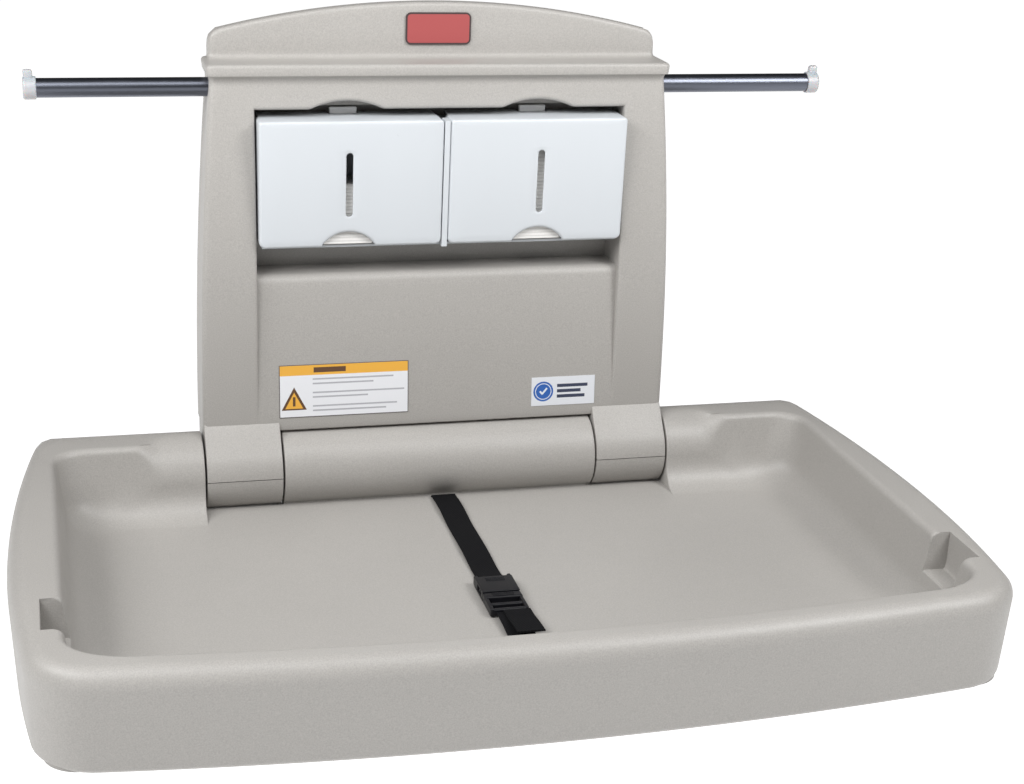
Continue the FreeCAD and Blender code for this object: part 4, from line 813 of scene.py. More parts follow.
def liner_surface(low, high):
    """A stack of folded liners: a rounded block whose sides swell and sink with every fold.

    The push outwards is a sine of the height for each fold, with a slower wave that makes some
    folds stand out more than others.
    """
    fold = 3.4
    half_x, half_y = (high[0] - low[0]) / 2 - 0.8, (high[1] - low[1]) / 2 - 0.8
    middle = (np.asarray(low) + np.asarray(high)) / 2
    rows = int((high[2] - low[2]) / fold) * 5
    z = np.linspace(low[2], high[2], rows)[:, None]
    turn = np.linspace(0, 2 * math.pi, 96, endpoint=False)[None]
    power = 0.12
    plan_x = half_x * np.sign(np.cos(turn)) * np.abs(np.cos(turn)) ** power
    plan_y = half_y * np.sign(np.sin(turn)) * np.abs(np.sin(turn)) ** power
    phase = 2 * math.pi * (z - low[2]) / fold
    push = 0.5 * np.abs(np.sin(phase / 2)) ** 0.6 + 0.3 * np.sin(z * 0.31) * np.sin(z * 0.83 + plan_x * 0.01)
    scale_x, scale_y = 1 + push / half_x, 1 + push / half_y
    points = np.stack([
        middle[0] + plan_x * scale_x, middle[1] + plan_y * scale_y, z + 0 * plan_x], -1)
    surface = Surface()
    surface.grid(points, loop=True)
    surface.cap(points[0], flip=True)
    surface.cap(points[-1])
    return surface


# ------------------------------------------------------------------ strap, buckle and bar

def smooth_path(points, count):
    """A Catmull-Rom curve through points, sampled evenly in its own parameter."""
    points = np.asarray(points, float)
    points = np.concatenate([2 * points[:1] - points[1:2], points, 2 * points[-1:] - points[-2:-1]])
    place = np.linspace(0, len(points) - 3.0001, count)
    span, t = np.floor(place).astype(int), (place % 1)[:, None]
    a, b, c, d = (points[span + n] for n in range(4))
    return 0.5 * (2 * b + (c - a) * t + (2 * a - 5 * b + 4 * c - d) * t ** 2 + (3 * b - a - 3 * c + d) * t ** 3)


def webbing(path, middle, wide, thick, count):
    """Flat webbing: a thin rounded section, ribbed along both edges, carried along (y, z)."""
    run = smooth_path(path, count)
    ahead = np.gradient(run, axis=0)
    ahead /= np.linalg.norm(ahead, axis=1, keepdims=True)
    normal = np.column_stack([-ahead[:, 1], ahead[:, 0]])
    half, lift = wide / 2, thick / 2
    across = np.concatenate([[-1, -0.97, -0.9, -0.87, -0.84], np.linspace(-0.8, 0.8, 9), [0.84, 0.87, 0.9, 0.97, 1]])
    height = np.array([0, 0.8, 1, 0.72, 0.92] + [0.95] * 9 + [0.92, 0.72, 1, 0.8, 0])
    section = np.concatenate([
        np.column_stack([across, height]), np.column_stack([across[::-1], -height[::-1]])[1:-1]])
    x = middle + section[None, :, 0] * half + 0 * run[:, :1]
    swing = section[None, :, 1, None] * lift * normal[:, None]
    points = np.concatenate([x[..., None], run[:, None] + swing], -1)
    surface = Surface()
    surface.grid(points, loop=True)
    surface.cap(points[0], flip=True)
    surface.cap(points[-1])
    return surface


def moulded(low, high, radius, waist=0.0, crown=0.0, taper=0.0):
    """A rounded block drawn in at its waist, crowned on top and tapered along Y."""
    surface = block(low, high, radius)
    low, high = np.asarray(low, float), np.asarray(high, float)
    middle, half = (low + high) / 2, (high - low) / 2

    def shaped(points):
        x, y, z = (points - middle).T
        along = y / half[1]
        x = x * (1 - waist * (1 - along ** 2) - taper * (along + 1) / 2)
        z = z + crown * (1 - along ** 2) * (1 - (x / half[0]) ** 2) * (z > 0)
        return np.column_stack([x, y, z]) + middle

    surface.points = [shaped(points) for points in surface.points]
    return surface


def socket_surface(middle, rear, low):
    """The buckle's socket: a waisted shell with a raised pad, side windows and an open mouth.

    It is made of rounded blocks: a roof and a floor, three walls, a bar for the webbing and low
    grip ribs on the roof.
    """
    half, deep, tall = 17.5, 36.0, 10.0
    surface = Surface()

    def add(x0, x1, y0, y1, z0, z1, radius, **shape):
        surface.join(moulded((middle + x0, rear + y0, low + z0), (middle + x1, rear + y1, low + z1), radius, **shape))

    add(-half, half, -deep, -5, 7.5, tall, 1.2, waist=0.05, crown=0.4)
    add(-half, half, -deep, -5, 0, 2.3, 1.0, waist=0.05)
    add(-half, half, -16, -5, 0.6, tall - 0.6, 1.6, waist=0.03)
    add(-half + 0.5, half - 0.5, -deep, -28, 0.6, tall - 0.6, 1.2)
    for side in (-1, 1):
        add(*sorted((side * (half - 4), side * (half - 0.2))), -8, 0, 0.4, tall - 0.8, 1.4)
    add(-half + 2, half - 2, -2.6, 0, 0.8, tall - 3.2, 1.1)
    for rib in range(4):
        y = -9 - rib * 1.9
        add(-9, 9, y - 0.55, y + 0.55, tall - 0.6, tall + 0.45, 0.45)
    return surface


def clip_surface(middle, rear, low):
    """The buckle's clip: a crowned body with two bars for the webbing, two sprung arms and a tongue."""
    half, deep, tall = 17.5, 32.0, 9.0
    surface = Surface()

    def add(x0, x1, y0, y1, z0, z1, radius, **shape):
        surface.join(moulded((middle + x0, rear + y0, low + z0), (middle + x1, rear + y1, low + z1), radius, **shape))

    add(-half, half, -10, 0, 0, tall, 1.8, crown=0.5)
    for side in (-1, 1):
        add(*sorted((side * (half - 3.6), side * half)), -deep, -6, 0.2, tall - 0.8, 1.5)
        add(*sorted((side * 9, side * 13.2)), -2, 22, 3.2, 6.8, 1.0)
        add(*sorted((side * 11.5, side * 16.6)), 10.5, 16.5, 3.0, 7.0, 1.4)
    add(-2.5, 2.5, -1, 25, 3.2, 6.8, 1.2)
    for y in (-deep, -21.5):
        add(-half + 1, half - 1, y, y + 4.6, 0.8, tall - 1.6, 1.5)
    for rib in range(3):
        y = -3 - rib * 2.2
        add(-10, 10, y - 0.6, y + 0.6, tall - 0.3, tall + 0.7, 0.45)
    return surface


def cap_surface(low, high, centre_y, centre_z):
    """The right end cap: a turned cup with a rounded end, and a small fin that stands up and curls."""
    reach, radius = high[0], 10.6
    turn = np.radians(np.linspace(0, 90, 6))
    r = 2.2
    end = np.column_stack([reach - r + r * np.sin(turn), radius - r + r * np.cos(turn)])
    profile = np.concatenate([
        [(low[0] + 0.6, 9.1), (low[0], 9.3), (low[0], radius - 0.7), (low[0] + 0.7, radius)], end,
        [(reach, 3.0), (reach - 0.4, 0.0)]])
    surface = turned(profile, centre_y, centre_z, 40)
    fin = block((reach - 9.5, centre_y - 4.2, centre_z + 5), (reach - 1.0, centre_y + 4.2, high[2]), 2.2)

    def curled(points):
        rise = np.clip((points[:, 2] - centre_z - radius + 2) / 9, 0, 1)
        width = 1 - 0.35 * rise
        return np.column_stack([
            points[:, 0] + 1.0 * rise ** 2, centre_y + (points[:, 1] - centre_y) * width, points[:, 2]])

    fin.points = [curled(points) for points in fin.points]
    return surface.join(fin)


# ------------------------------------------------------------------ finishes

class Value:
    """A shader socket that takes + - * and comparisons, and adds the Math nodes for them."""

    def __init__(self, finish, socket):
        self.finish, self.socket = finish, socket

    def math(self, operation, *others):
        node = self.finish.node("ShaderNodeMath", {"operation": operation}, dict(enumerate((self, *others))))
        return Value(self.finish, node.outputs[0])

    def __add__(self, other):
        return self.math("ADD", other)

    def __sub__(self, other):
        return self.math("SUBTRACT", other)

    def __mul__(self, other):
        return self.math("MULTIPLY", other)

    def __rsub__(self, other):
        return self * -1.0 + other

    __radd__, __rmul__ = __add__, __mul__

    def __gt__(self, other):
        return self.math("GREATER_THAN", other)

    def __lt__(self, other):
        return self.math("LESS_THAN", other)

    def __abs__(self):
        return self.math("ABSOLUTE")

    def most(self, other):
        """The larger of the two."""
        return self.math("MAXIMUM", other)

    def least(self, other):
        """The smaller of the two."""
        return self.math("MINIMUM", other)


class Finish:
    """One procedural material: a Principled shader, with helpers that add what feeds it."""

    def __init__(self, name, colour, roughness, **fixed):
        self.material = bpy.data.materials.new(name)
        self.material.use_nodes = True
        self.tree = self.material.node_tree
        self.shader = self.tree.nodes["Principled BSDF"]
        self.colour = (*colour[:3], 1)
        self.material.diffuse_color = self.colour
        self.set({"Base Color": self.colour, "Roughness": roughness, **fixed})
        coordinates = self.tree.nodes.new("ShaderNodeTexCoord")
        self.place = coordinates.outputs["Object"]

    def set(self, inputs):
        """Feed the shader's own sockets."""
        for name, value in inputs.items():
            self.feed(self.shader.inputs[name.replace("_", " ")], value)

    def feed(self, socket, value):
        """Link a socket or a Value, or set a plain one."""
        if isinstance(value, Value):
            value = value.socket
        if isinstance(value, bpy.types.NodeSocket):
            self.tree.links.new(value, socket)
        else:
            socket.default_value = value

    def node(self, kind, settings, inputs):
        """Add a node: its settings first, then the values or links of its sockets."""
        node = self.tree.nodes.new(kind)
        for name, value in settings.items():
            if name == "stops":
                ramp = node.color_ramp.elements
                for n, (position, grey) in enumerate(value):
                    stop = ramp[n] if n < len(ramp) else ramp.new(position)
                    stop.position, stop.color = position, (grey, grey, grey, 1)
            else:
                setattr(node, name, value)
        for name, value in inputs.items():
            self.feed(node.inputs[name], value)
        return node

    def noise(self, scale, detail=2.0, stretch=(1, 1, 1)):
        """Noise between about 0 and 1, with features of 1/scale metres, drawn out along an axis."""
        where = self.place
        if stretch != (1, 1, 1):
            where = self.node("ShaderNodeMapping", {}, {"Vector": where, "Scale": stretch}).outputs[0]
        node = self.node("ShaderNodeTexNoise", {}, {"Vector": where, "Scale": scale, "Detail": detail})
        return Value(self, node.outputs[0])

    def axis(self, name):
        """One Object coordinate in millimetres."""
        node = self.node("ShaderNodeSeparateXYZ", {}, {0: self.place})
        return Value(self, node.outputs[name]) * 1000.0

    def tint(self, factor, low, high):
        """A colour mixed from low to high by the factor."""
        node = self.node("ShaderNodeMix", {"data_type": "RGBA"}, {0: factor, 6: low, 7: high})
        return node.outputs[2]

    def relief(self, height, distance, strength=1.0):
        """Bump the surface by a height of 0 to 1, that many metres deep."""
        node = self.node("ShaderNodeBump", {}, {"Height": height, "Distance": distance, "Strength": strength})
        self.set({"Normal": node.outputs[0]})


def shade(colour, factor):
    """A colour made darker or lighter."""
    return tuple(min(1, part * factor) for part in colour[:3]) + (1,)


def colours():
    """The colours a user may change."""
    return bpy.context.scene.station_colours


def moulding(name, colour, roughness):
    """Rotomoulded plastic: a fine two-tone speckle, a slow drift of tone and a slight orange peel."""
    finish = Finish(name, colour, roughness)
    speckle = finish.noise(900.0, 3.0)
    drift = finish.noise(9.0, 2.0)
    sharp = ((speckle - 0.5) * 2.6 + 0.5).most(0.0).least(1.0)
    tone = (sharp * 0.75 + drift * 0.25)
    finish.set({
        "Base Color": finish.tint(tone, shade(colour, 0.86), shade(colour, 1.13)),
        "Roughness": finish.noise(60.0, 2.0) * 0.12 + (roughness - 0.06)})
    finish.relief(finish.noise(420.0, 2.0), 0.00025, 0.5)
    return finish.material


def platinum_grey():
    """The bed's and the panel's speckled grey."""
    return moulding("platinum grey moulding", colours().moulding, 0.46)


def cover_grey():
    """The base cover's duller grey."""
    return moulding("base cover grey", shade(colours().moulding, 0.86), 0.6)


def smooth_white():
    """Smooth cool white mouldings with faint flow marks."""
    colour = colours().doors
    finish = Finish("smooth white moulding", colour, 0.3)
    flow = finish.noise(14.0, 3.0, (1, 1, 0.3))
    finish.set({
        "Base Color": finish.tint(flow, shade(colour, 0.97), shade(colour, 1.02)),
        "Roughness": finish.noise(90.0, 2.0) * 0.1 + 0.25})
    return finish.material


def tab_white():
    """The latch tabs' brighter white."""
    finish = Finish("bright tab white", (0.9, 0.9, 0.9), 0.35)
    finish.set({"Roughness": finish.noise(120.0, 2.0) * 0.12 + 0.28})
    return finish.material


def steel(name, colour, roughness, stretch):
    """Satin steel: long fine scratches along one axis, in tone and in gloss."""
    finish = Finish(name, colour, roughness, Metallic=1.0)
    lines = finish.noise(260.0, 3.0, stretch)
    finish.set({
        "Base Color": finish.tint(lines, shade(colour, 0.85), shade(colour, 1.12)),
        "Roughness": lines * 0.18 + (roughness - 0.09)})
    finish.relief(lines, 0.00004, 0.4)
    return finish.material


def zinc():
    """Zinc-plated brackets, screws and frame."""
    return steel("zinc plated steel", (0.62, 0.63, 0.65), 0.38, (1, 1, 1))


def bar_satin():
    """The cross bar's dark satin steel, its scratches running along it."""
    return steel("satin bar steel", colours().bar, 0.34, (0.03, 1, 1))


def cap_plastic():
    """The bar's milky end caps."""
    finish = Finish("milky cap plastic", (0.42, 0.43, 0.45), 0.32, Subsurface_Weight=0.15)
    finish.set({"Roughness": finish.noise(150.0) * 0.1 + 0.27})
    return finish.material


def webbing_black():
    """Woven nylon: rows of picks that alternate over and under, darker between them."""
    finish = Finish("woven black webbing", (0.01, 0.01, 0.012), 0.9, Specular_IOR_Level=0.15)
    pick = 1.5
    x, y = finish.axis("X") * (math.pi / pick), finish.axis("Y") * (math.pi / pick)
    weave = (x.math("SINE") * y.math("SINE")) * 0.5 + 0.5
    fibre = finish.noise(2400.0, 2.0)
    tone = weave * 0.7 + fibre * 0.3
    finish.set({"Base Color": finish.tint(tone, (0.001, 0.001, 0.001, 1), (0.009, 0.009, 0.011, 1))})
    finish.relief(tone, 0.0004, 0.8)
    return finish.material


def acetal_black():
    """Black moulded plastic with a fine spark texture."""
    finish = Finish("black acetal", (0.006, 0.006, 0.008), 0.36, Specular_IOR_Level=0.3)
    finish.set({"Roughness": finish.noise(700.0) * 0.25 + 0.24})
    finish.relief(finish.noise(1500.0), 0.0001, 0.4)
    return finish.material


def pad_rubber():
    """Black rubber, dusty in places."""
    finish = Finish("black rubber", (0.03, 0.03, 0.03), 0.8)
    finish.set({"Base Color": finish.tint(finish.noise(80.0), (0.02, 0.02, 0.02, 1), (0.05, 0.05, 0.048, 1))})
    return finish.material


def bush_nylon():
    """Natural nylon."""
    finish = Finish("natural nylon", (0.8, 0.78, 0.72), 0.4, Subsurface_Weight=0.1)
    finish.set({"Roughness": finish.noise(200.0) * 0.15 + 0.32})
    return finish.material


def liner_paper():
    """Soft absorbent paper with loose fibres, with a painted highlight along each fold's crest and painted shade in
    the valley between folds.
    """
    finish = Finish("folded paper", (0.8, 0.78, 0.74), 0.95)
    # painted light: a painted highlight at each fold's crest and painted shade between folds, every 3.4 mm up the
    # stack
    fold = (finish.axis("Z") * (math.pi / 3.4)).math("SINE")
    fibre = finish.noise(500.0, 4.0)
    # the tone mixes the painted fold highlight and shade with the paper's own random fibres
    tone = (abs(fold) * 0.75 + fibre * 0.35).least(1.0)
    finish.set({"Base Color": finish.tint(tone, (0.62, 0.61, 0.59, 1), (0.90, 0.89, 0.87, 1))})
    finish.relief(fibre, 0.0003, 0.5)
    return finish.material


class Print(Finish):
    """A printed film: masks of simple shapes in millimetres, laid one over another."""

    def __init__(self, name, ground, roughness):
        super().__init__(name, ground, roughness)
        self.x, self.z = self.axis("X"), self.axis("Z")
        self.ink = self.colour

    def lay(self, mask, colour):
        """Lay a colour where the mask is 1."""
        self.ink = self.tint(mask, self.ink, (*colour, 1))
        self.set({"Base Color": self.ink})

    def bar(self, low_x, high_x, low_z, high_z):
        """A rectangle's mask."""
        wide = abs(self.x - (low_x + high_x) / 2) < (high_x - low_x) / 2
        tall = abs(self.z - (low_z + high_z) / 2) < (high_z - low_z) / 2
        return wide * tall

    def disc(self, x, z, radius):
        """A disc's mask."""
        run, rise = self.x - x, self.z - z
        return (run * run + rise * rise) < radius * radius

    def stroke(self, start, end, width):
        """A straight stroke's mask: within half its width of the line, and between its ends."""
        run, rise = end[0] - start[0], end[1] - start[1]
        length = math.hypot(run, rise)
        dx, dz = self.x - start[0], self.z - start[1]
        along = dx * (run / length) + dz * (rise / length)
        off = abs(dx * (-rise / length) + dz * (run / length))
        return (off < width / 2) * (abs(along - length / 2) < length / 2)


def badge_red():
    """A plain badge: muted red inside a thin dark border, with no lettering."""
    low, high = node_box("badge_plate")
    finish = Print("badge red", colours().badge, 0.4)
    border, corner = 1.6, 5.0
    x, z = (low + high)[0] / 2, (low + high)[2] / 2
    half_x, half_z = (high - low)[0] / 2 - corner, (high - low)[2] / 2 - corner
    past_x = (abs(finish.x - x) - half_x).most(0.0)
    past_z = (abs(finish.z - z) - half_z).most(0.0)
    edge = (past_x * past_x + past_z * past_z) > (corner - border) ** 2
    finish.lay(edge, (0.05, 0.03, 0.03))
    return finish.material


def notice_print():
    """A plain notice: an amber band, a blank amber triangle, and rows of grey bars beside it."""
    low, high = node_box("notice_label")
    finish = Print("printed notice", (0.12, 0.11, 0.11), 0.45)
    amber, dark, grey = colours().notice[:3], (0.12, 0.06, 0.03), (0.42, 0.42, 0.45)
    band = high[2] - (high[2] - low[2]) * 0.2
    finish.lay(finish.bar(low[0] + 0.6, high[0] - 0.6, low[2] + 0.6, high[2] - 0.6), (0.78, 0.79, 0.82))
    finish.lay(finish.bar(low[0] + 0.6, high[0] - 0.6, band, high[2] - 0.6), amber)
    finish.lay(finish.bar(low[0] + 34, low[0] + 66, band + 2.5, high[2] - 3), dark)
    spot, foot, peak, half = low[0] + 14.5, low[2] + 7.5, low[2] + 31, 12.5
    slope = half / (peak - foot)
    for edge, ink in ((0.0, dark), (1.5, amber)):
        side = half - edge * 1.9 - (finish.z - foot) * slope
        finish.lay((abs(finish.x - spot) < side) * (finish.z > foot + edge), ink)
    finish.lay(finish.bar(spot - 1.3, spot + 1.3, foot + 4, foot + 13.5), dark)
    left = low[0] + 33
    for line, share in enumerate((0.88, 0.66, 0.0, 1.0, 0.6, 0.0, 0.92, 0.8)):
        level = band - 4.2 - line * 4.6
        finish.lay(finish.bar(left, left + (high[0] - left - 4) * share, level - 0.8, level + 0.8), grey)
    return finish.material


def sticker_print():
    """A plain sticker: a pale ground, a blue disc with a tick, and dark bars beside it."""
    low, high = node_box("approval_sticker")
    finish = Print("printed sticker", (0.72, 0.74, 0.78), 0.4)
    z = (low[2] + high[2]) / 2
    x = low[0] + 12.5
    blue, pale = colours().sticker[:3], (0.72, 0.76, 0.82)
    for radius, ink in ((10.5, blue), (8.6, pale), (7.8, blue)):
        finish.lay(finish.disc(x, z, radius), ink)
    finish.lay(finish.stroke((x - 3.6, z + 0.4), (x - 1.0, z - 2.8), 1.9), pale)
    finish.lay(finish.stroke((x - 1.4, z - 2.8), (x + 3.8, z + 3.4), 1.9), pale)
    for line, share in enumerate((0.9, 0.7, 0.82)):
        level = z + 5.6 - line * 5.6
        end = low[0] + 27 + (high[0] - low[0] - 31) * share
        finish.lay(finish.bar(low[0] + 27, end, level - 1.7, level + 1.7), (0.04, 0.05, 0.09))
    return finish.material


def shared(make):
    """A finish that is made once and then found again."""
    made = []

    def find():
        if not made:
            made.append(make())
        return made[0]
    return find


FINISHES = {
    name: shared(make) for name, make in {
        "grey": platinum_grey, "base": cover_grey, "white": smooth_white, "tab": tab_white, "zinc": zinc,
        "bar": bar_satin, "cap": cap_plastic, "webbing": webbing_black, "black": acetal_black,
        "rubber": pad_rubber, "nylon": bush_nylon, "paper": liner_paper, "badge": badge_red,
        "notice": notice_print, "sticker": sticker_print}.items()
}
NODE_FINISHES = {
    "base": ["bed_base"],
    "white": ["dispenser_housing"],
    "rubber": ["stop_pads"],
    "nylon": ["hinge_bushes_left", "hinge_bushes_right"],
    "black": ["hinge_damper_left", "hinge_damper_right"],
    "badge": ["badge_plate"],
    "notice": ["notice_label"],
    "sticker": ["approval_sticker"],
}


# ------------------------------------------------------------------ settings

def colour_setting(name, description, default):
    """A colour a user can change."""
    return FloatVectorProperty(
        name=name, description=description, subtype="COLOR", size=3, min=0, max=1, default=default)


def length_setting(name, description, default):
    """A length a user can change, in metres."""
    return FloatProperty(
        name=name, description=description, subtype="DISTANCE", unit="LENGTH", min=0, default=default)


class StationColours(bpy.types.PropertyGroup):
    """Colours of the finishes."""

    moulding: colour_setting("Moulding", "Speckled grey of the bed and the panel", (0.385, 0.37, 0.35))
    doors: colour_setting("Doors", "White of the dispenser", (0.60, 0.63, 0.66))
    bar: colour_setting("Bar", "Satin steel of the cross bar", (0.14, 0.15, 0.18))
    badge: colour_setting("Badge", "Plain badge on the crown", (0.36, 0.07, 0.07))
    notice: colour_setting("Notice band", "Band across the notice", (0.80, 0.42, 0.06))
    sticker: colour_setting("Sticker disc", "Disc on the sticker", (0.03, 0.12, 0.42))
    floor: colour_setting("Floor", "Floor under the station", (0.92, 0.92, 0.92))


class StationSizes(bpy.types.PropertyGroup):
    """Sizes that don't change the frame."""

    bed_wall: length_setting("Bed wall", "Moulded thickness of the bed", 0.0036)
    door_wall: length_setting("Door wall", "Moulded thickness of the doors", 0.0022)
    webbing_wide: length_setting("Webbing width", "Width of the strap", 0.025)
    webbing_thick: length_setting("Webbing thickness", "Thickness of the strap", 0.0018)
    floor_drop: length_setting("Floor drop", "From the wall-bolt centre down to the floor", 1.15)
    lamp_power: FloatProperty(
        name="Lamp power", description="Power that each lamp takes its share of", subtype="POWER", unit="POWER",
        min=0, default=14.0)
    room_light: FloatProperty(
        name="Room light", description="Strength of the light from all round", min=0, default=0.06)


def sizes():
    """The sizes a user may change."""
    return bpy.context.scene.station_sizes


# ------------------------------------------------------------------ operators

class STATION_OT_bed(bpy.types.Operator):
    """Build the bed's moulding: rim, walls, well, rear roll, knuckle notches and bar pockets"""

    bl_idname = "station.bed"
    bl_label = "Bed moulding"
    bl_options = {"REGISTER", "UNDO"}

    def execute(self, context):
        """One walled shell."""
        bed = put("bed_moulding", bed_surface(), "grey")
        walled(bed, sizes().bed_wall * 1000)
        settle(bed, "bed", "grey_moulding", "bed_tray")
        return {"FINISHED"}


class STATION_OT_panel(bpy.types.Operator):
    """Build the wall panel with its crown, ledge, niche and knuckles, and the knuckles' lower covers"""

    bl_idname = "station.panel"
    bl_label = "Wall panel"
    bl_options = {"REGISTER", "UNDO"}

    def execute(self, context):
        """The panel's shell and two covers."""
        panel = put("panel_cover", panel_surface(), "grey")
        settle(panel, "wall_unit", "grey_moulding", "wall_panel")
        cover = cover_surface()
        for side, surface in (("right", cover), ("left", mirrored(cover))):
            piece = put(f"knuckle_cap_{side}", surface, "grey")
            settle(piece, "wall_unit", "grey_moulding", f"knuckle_cover_{side}")
        return {"FINISHED"}


class STATION_OT_doors(bpy.types.Operator):
    """Build the dispenser's doors and latch tabs"""

    bl_idname = "station.doors"
    bl_label = "Dispenser doors"
    bl_options = {"REGISTER", "UNDO"}

    def execute(self, context):
        """Both doors and both tabs."""
        door, tab = door_surface(), tab_surface()
        for side, door_shape, tab_shape in (("right", door, tab), ("left", mirrored(door), mirrored(tab))):
            piece = put(f"door_{side}_shell", door_shape, "white")
            walled(piece, sizes().door_wall * 1000)
            settle(piece, f"door_{side}", "white_moulding", f"dispenser_door_{side}")
            piece = put(f"latch_{side}_tab", tab_shape, "tab")
            settle(piece, f"latch_{side}", "white_moulding", f"latch_tab_{side}")
        return {"FINISHED"}


class STATION_OT_liners(bpy.types.Operator):
    """Build the two stacks of folded paper liners"""

    bl_idname = "station.liners"
    bl_label = "Liner stacks"
    bl_options = {"REGISTER", "UNDO"}

    def execute(self, context):
        """Both stacks, each as high as the frame's."""
        for side in ("right", "left"):
            low, high = node_box(f"liner_stack_{side}")
            low[1] = -51.5
            front = np.array([low[0], -60, 206 + RIM]), np.array([high[0], -48, high[2]])
            middle = (low[0] + high[0]) / 2
            middle += (DOOR["middle"] - abs(middle)) * np.sign(middle)
            stack = liner_surface(low, high).join(liner_surface(*front))
            stack.join(block((middle - 24, -60, 190.5 + RIM), (middle + 24, -48, 207 + RIM), 1.2))
            piece = put(f"folded_liners_{side}", stack, "paper", sharp=60, lift=0)
            settle(piece, "wall_unit", "paper", f"liner_stack_{side}")
        return {"FINISHED"}


class STATION_OT_strap(bpy.types.Operator):
    """Build the safety strap's webbing and the two halves of its buckle"""

    bl_idname = "station.strap"
    bl_label = "Strap and buckle"
    bl_options = {"REGISTER", "UNDO"}

    def execute(self, context):
        """Two lengths of webbing, the loose tail, the socket and the clip."""
        wide, thick = sizes().webbing_wide * 1000, sizes().webbing_thick * 1000
        floor = -WELL["deep"]
        lie = floor + 1.1
        slot_rear, slot_front, socket_end = -77, -472, -288
        front_end = socket_end - 67.5
        middle = 2.0
        rear = [(slot_rear, floor - 7), (slot_rear, floor - 2), (slot_rear - 0.6, floor + 0.2),
                (slot_rear - 2.5, floor + 1.6), (slot_rear - 6, lie + 1), (slot_rear - 40, lie + 2.6),
                (slot_rear - 80, lie + 0.8), (slot_rear - 140, lie + 2), (slot_rear - 180, lie + 0.6),
                (socket_end + 12, lie + 1.4), (socket_end + 4, lie + 3.4), (socket_end - 4, lie + 3.6)]
        front = [(front_end, lie + 3.6), (front_end - 20, lie + 3.6), (front_end - 44, lie + 2),
                 (slot_front + 40, lie + 1), (slot_front + 12, lie + 2.4), (slot_front + 5, lie + 2.2),
                 (slot_front + 1, floor + 1.2), (slot_front, floor - 1), (slot_front, floor - 7)]
        tail = [(front_end - 1.6, lie + 5.6), (front_end - 18, lie + 6.4), (front_end - 34, lie + 8.2),
                (front_end - 52, lie + 9.6)]
        for name, path, shift, body, node in (
                ("strap_rear_webbing", rear, 0, "bed", "strap_rear"),
                ("strap_front_webbing", front, 0, "bed", "strap_front"),
                ("strap_loose_end", tail, 6, "buckle_clip", "strap_tail")):
            count = 160 if body == "bed" else 40
            piece = put(name, webbing(path, middle + shift, wide, thick, count), "webbing", sharp=50)
            if node == "strap_front":
                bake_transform(piece)
                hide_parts(node)
            else:
                settle(piece, body, "black_webbing", node)
        socket = socket_surface(middle, socket_end, floor + 0.5)
        clip = clip_surface(middle, socket_end - 36.6, floor + 0.5)
        settle(put("buckle_socket_half", socket, "black"), "bed", "black_plastic", "buckle_socket")
        settle(put("buckle_clip_half", clip, "black"), "buckle_clip", "black_plastic", "buckle_clip")
        return {"FINISHED"}


class STATION_OT_bar(bpy.types.Operator):
    """Build the cross bar and its hooked end caps"""

    bl_idname = "station.bar"
    bl_label = "Cross bar"
    bl_options = {"REGISTER", "UNDO"}

    def execute(self, context):
        """A turned tube with two caps."""
        low, high = node_box("support_bar")
        centre_y, centre_z = (low[1] + high[1]) / 2, (low[2] + high[2]) / 2
        radius, reach = (high[2] - low[2]) / 2, high[0]
        bend = round_steps(0.8, 4)
        x = np.concatenate([[-reach + 3], -reach + 0 * bend, -reach + bend, reach - bend[::-1], [reach, reach - 3]])
        r = np.concatenate([[radius - 1.5], radius - 1.5 + 0.7 * bend / 0.8, radius - 0.8 + np.sqrt(
            np.maximum(0.64 - (0.8 - bend) ** 2, 0)), radius - 0.8 + np.sqrt(
            np.maximum(0.64 - (0.8 - bend[::-1]) ** 2, 0)), [radius - 1.5, radius - 1.5]])
        bar = put("cross_bar", turned(np.column_stack([x, r]), centre_y, centre_z, 48), "bar", lift=0)
        settle(bar, "wall_unit", "bar_steel", "support_bar")
        cap = cap_surface(*node_box("bar_hook_right"), centre_y, centre_z)
        for side, surface in (("right", cap), ("left", mirrored(cap))):
            piece = put(f"bar_cap_{side}", surface, "cap", lift=0)
            settle(piece, "wall_unit", "bar_cap", f"bar_hook_{side}")
        return {"FINISHED"}


class STATION_OT_fittings(bpy.types.Operator):
    """Give the steel, rubber and nylon fittings, the housing, the base cover and the plates their finishes"""

    bl_idname = "station.fittings"
    bl_label = "Fittings"
    bl_options = {"REGISTER", "UNDO"}

    def execute(self, context):
        """Every frame node keeps its own shape; those not named otherwise are zinc-plated steel."""
        chosen = {node: finish for finish, nodes in NODE_FINISHES.items() for node in nodes}
        for name, thing in frame["nodes"].items():
            thing.data.materials.clear()
            thing.data.materials.append(FINISHES[chosen.get(name, "zinc")]())
        return {"FINISHED"}


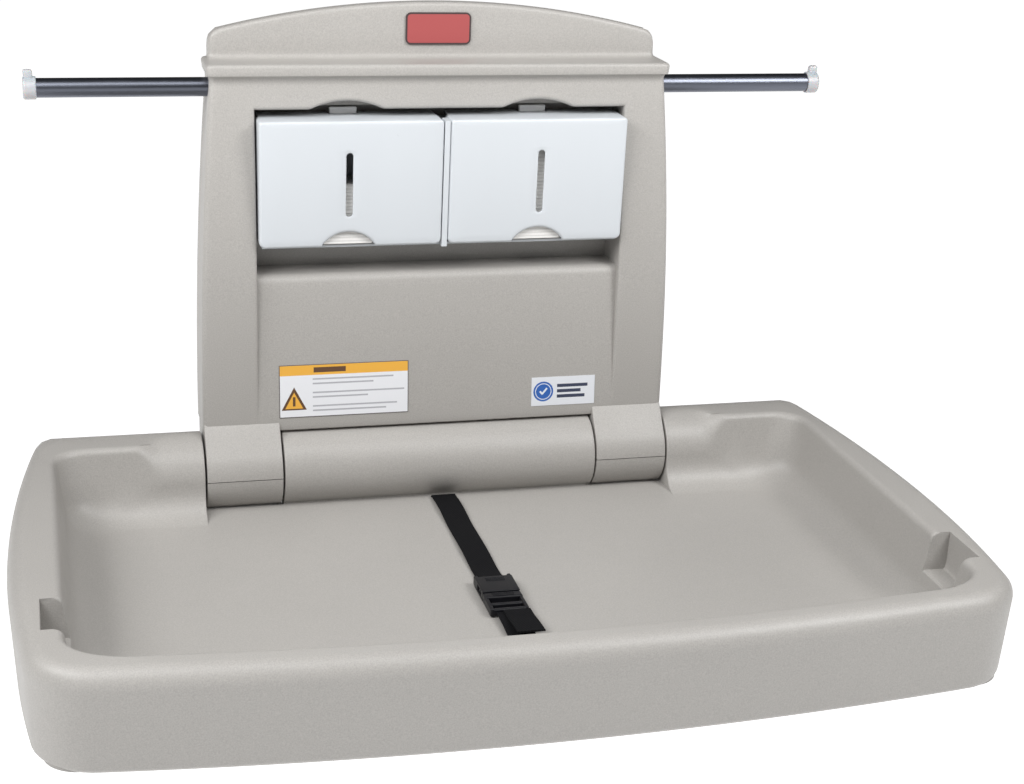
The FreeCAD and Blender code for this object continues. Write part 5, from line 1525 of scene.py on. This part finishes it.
class STATION_OT_stage(bpy.types.Operator):
    """Set up the floor, the lamps, the room's light and the camera"""

    bl_idname = "station.stage"
    bl_label = "Stage"
    bl_options = {"REGISTER", "UNDO"}

    def execute(self, context):
        """A pale floor, four broad soft lamps, and a long-lens camera."""
        drop = sizes().floor_drop
        floor = bpy.data.meshes.new("floor")
        reach = 150
        floor.from_pydata([(-reach, -reach, -drop), (reach, -reach, -drop), (reach, reach, -drop),
                           (-reach, reach, -drop)], [], [(0, 1, 2, 3)])
        finish = Finish("pale floor", colours().floor, 0.9)
        finish.set({"Emission Color": (1, 1, 1, 1), "Emission Strength": 1.0})
        floor.materials.append(finish.material)
        ground = bpy.data.objects.new("floor", floor)
        bpy.context.scene.collection.objects.link(ground)
        for name, spot, size, share in (
                ("side_lamp", (-1.6, -0.5, 1.2), (0.8, 0.8), 1.25),
                ("left_lamp", (-0.9, -1.0, 0.9), (0.6, 0.6), 0.75),
                ("right_lamp", (0.9, -1.0, 0.9), (0.6, 0.6), 0.98),
                ("top_lamp", (0, -0.75, 1.1), (1.4, 0.5), 0.51)):
            lamp = bpy.data.lights.new(name, "AREA")
            lamp.shape = "RECTANGLE"
            lamp.size, lamp.size_y = size
            lamp.energy = sizes().lamp_power * share
            light = bpy.data.objects.new(name, lamp)
            light.location = spot
            aim = Vector((0, -0.2, -0.1)) - light.location
            light.rotation_euler = aim.to_track_quat("-Z", "Y").to_euler()
            bpy.context.scene.collection.objects.link(light)
        world = bpy.data.worlds.new("room")
        world.use_nodes = True
        ground = world.node_tree.nodes["Background"]
        ground.inputs["Color"].default_value = (0.97, 0.98, 1, 1)
        ground.inputs["Strength"].default_value = sizes().room_light
        bpy.context.scene.world = world
        bpy.context.scene.view_settings.view_transform = "Standard"
        yaw, pitch, roll = 0.2645, 0.3384, 0.03913
        ahead = Vector((math.sin(yaw) * math.cos(pitch), math.cos(yaw) * math.cos(pitch), -math.sin(pitch)))
        level = Vector((math.cos(yaw), -math.sin(yaw), 0))
        rise = level.cross(ahead)
        right = level * math.cos(roll) + rise * math.sin(roll)
        up = rise * math.cos(roll) - level * math.sin(roll)
        turn = Matrix((right, up, -ahead)).transposed().to_4x4()
        lens = bpy.data.cameras.new("camera")
        lens.lens, lens.sensor_width = 64.477, 36
        lens.shift_x, lens.shift_y = -0.00605, 0.00391
        lens.clip_end = 400
        camera = bpy.data.objects.new("camera", lens)
        camera.matrix_world = Matrix.Translation((-0.3787, -1.761, 0.4659)) @ turn
        bpy.context.scene.collection.objects.link(camera)
        bpy.context.scene.camera = camera
        return {"FINISHED"}


class STATION_PT_panel(bpy.types.Panel):
    """Lists the settings and the pieces."""

    bl_label = "Changing Station"
    bl_idname = "STATION_PT_panel"
    bl_space_type = "VIEW_3D"
    bl_region_type = "UI"
    bl_category = "Station"

    def draw(self, context):
        """Settings first, then a button for each operator."""
        for group in (context.scene.station_sizes, context.scene.station_colours):
            box = self.layout.box()
            for name in group.bl_rna.properties.keys():
                if name not in ("rna_type", "name"):
                    box.prop(group, name)
        for operator in OPERATORS:
            self.layout.operator(operator.bl_idname)


OPERATORS = (
    STATION_OT_fittings, STATION_OT_bed, STATION_OT_panel, STATION_OT_doors, STATION_OT_liners,
    STATION_OT_strap, STATION_OT_bar, STATION_OT_stage)
CLASSES = (StationColours, StationSizes, *OPERATORS, STATION_PT_panel)


def register():
    """Register the classes and hang the settings on the scene."""
    for one in CLASSES:
        bpy.utils.register_class(one)
    bpy.types.Scene.station_colours = PointerProperty(type=StationColours)
    bpy.types.Scene.station_sizes = PointerProperty(type=StationSizes)


def unregister():
    """Undo register."""
    del bpy.types.Scene.station_colours
    del bpy.types.Scene.station_sizes
    for one in reversed(CLASSES):
        bpy.utils.unregister_class(one)


def main():
    """Build everything in order."""
    register()
    for operator in OPERATORS:
        group, name = operator.bl_idname.split(".")
        getattr(getattr(bpy.ops, group), name)()


if __name__ == "__main__":
    main()
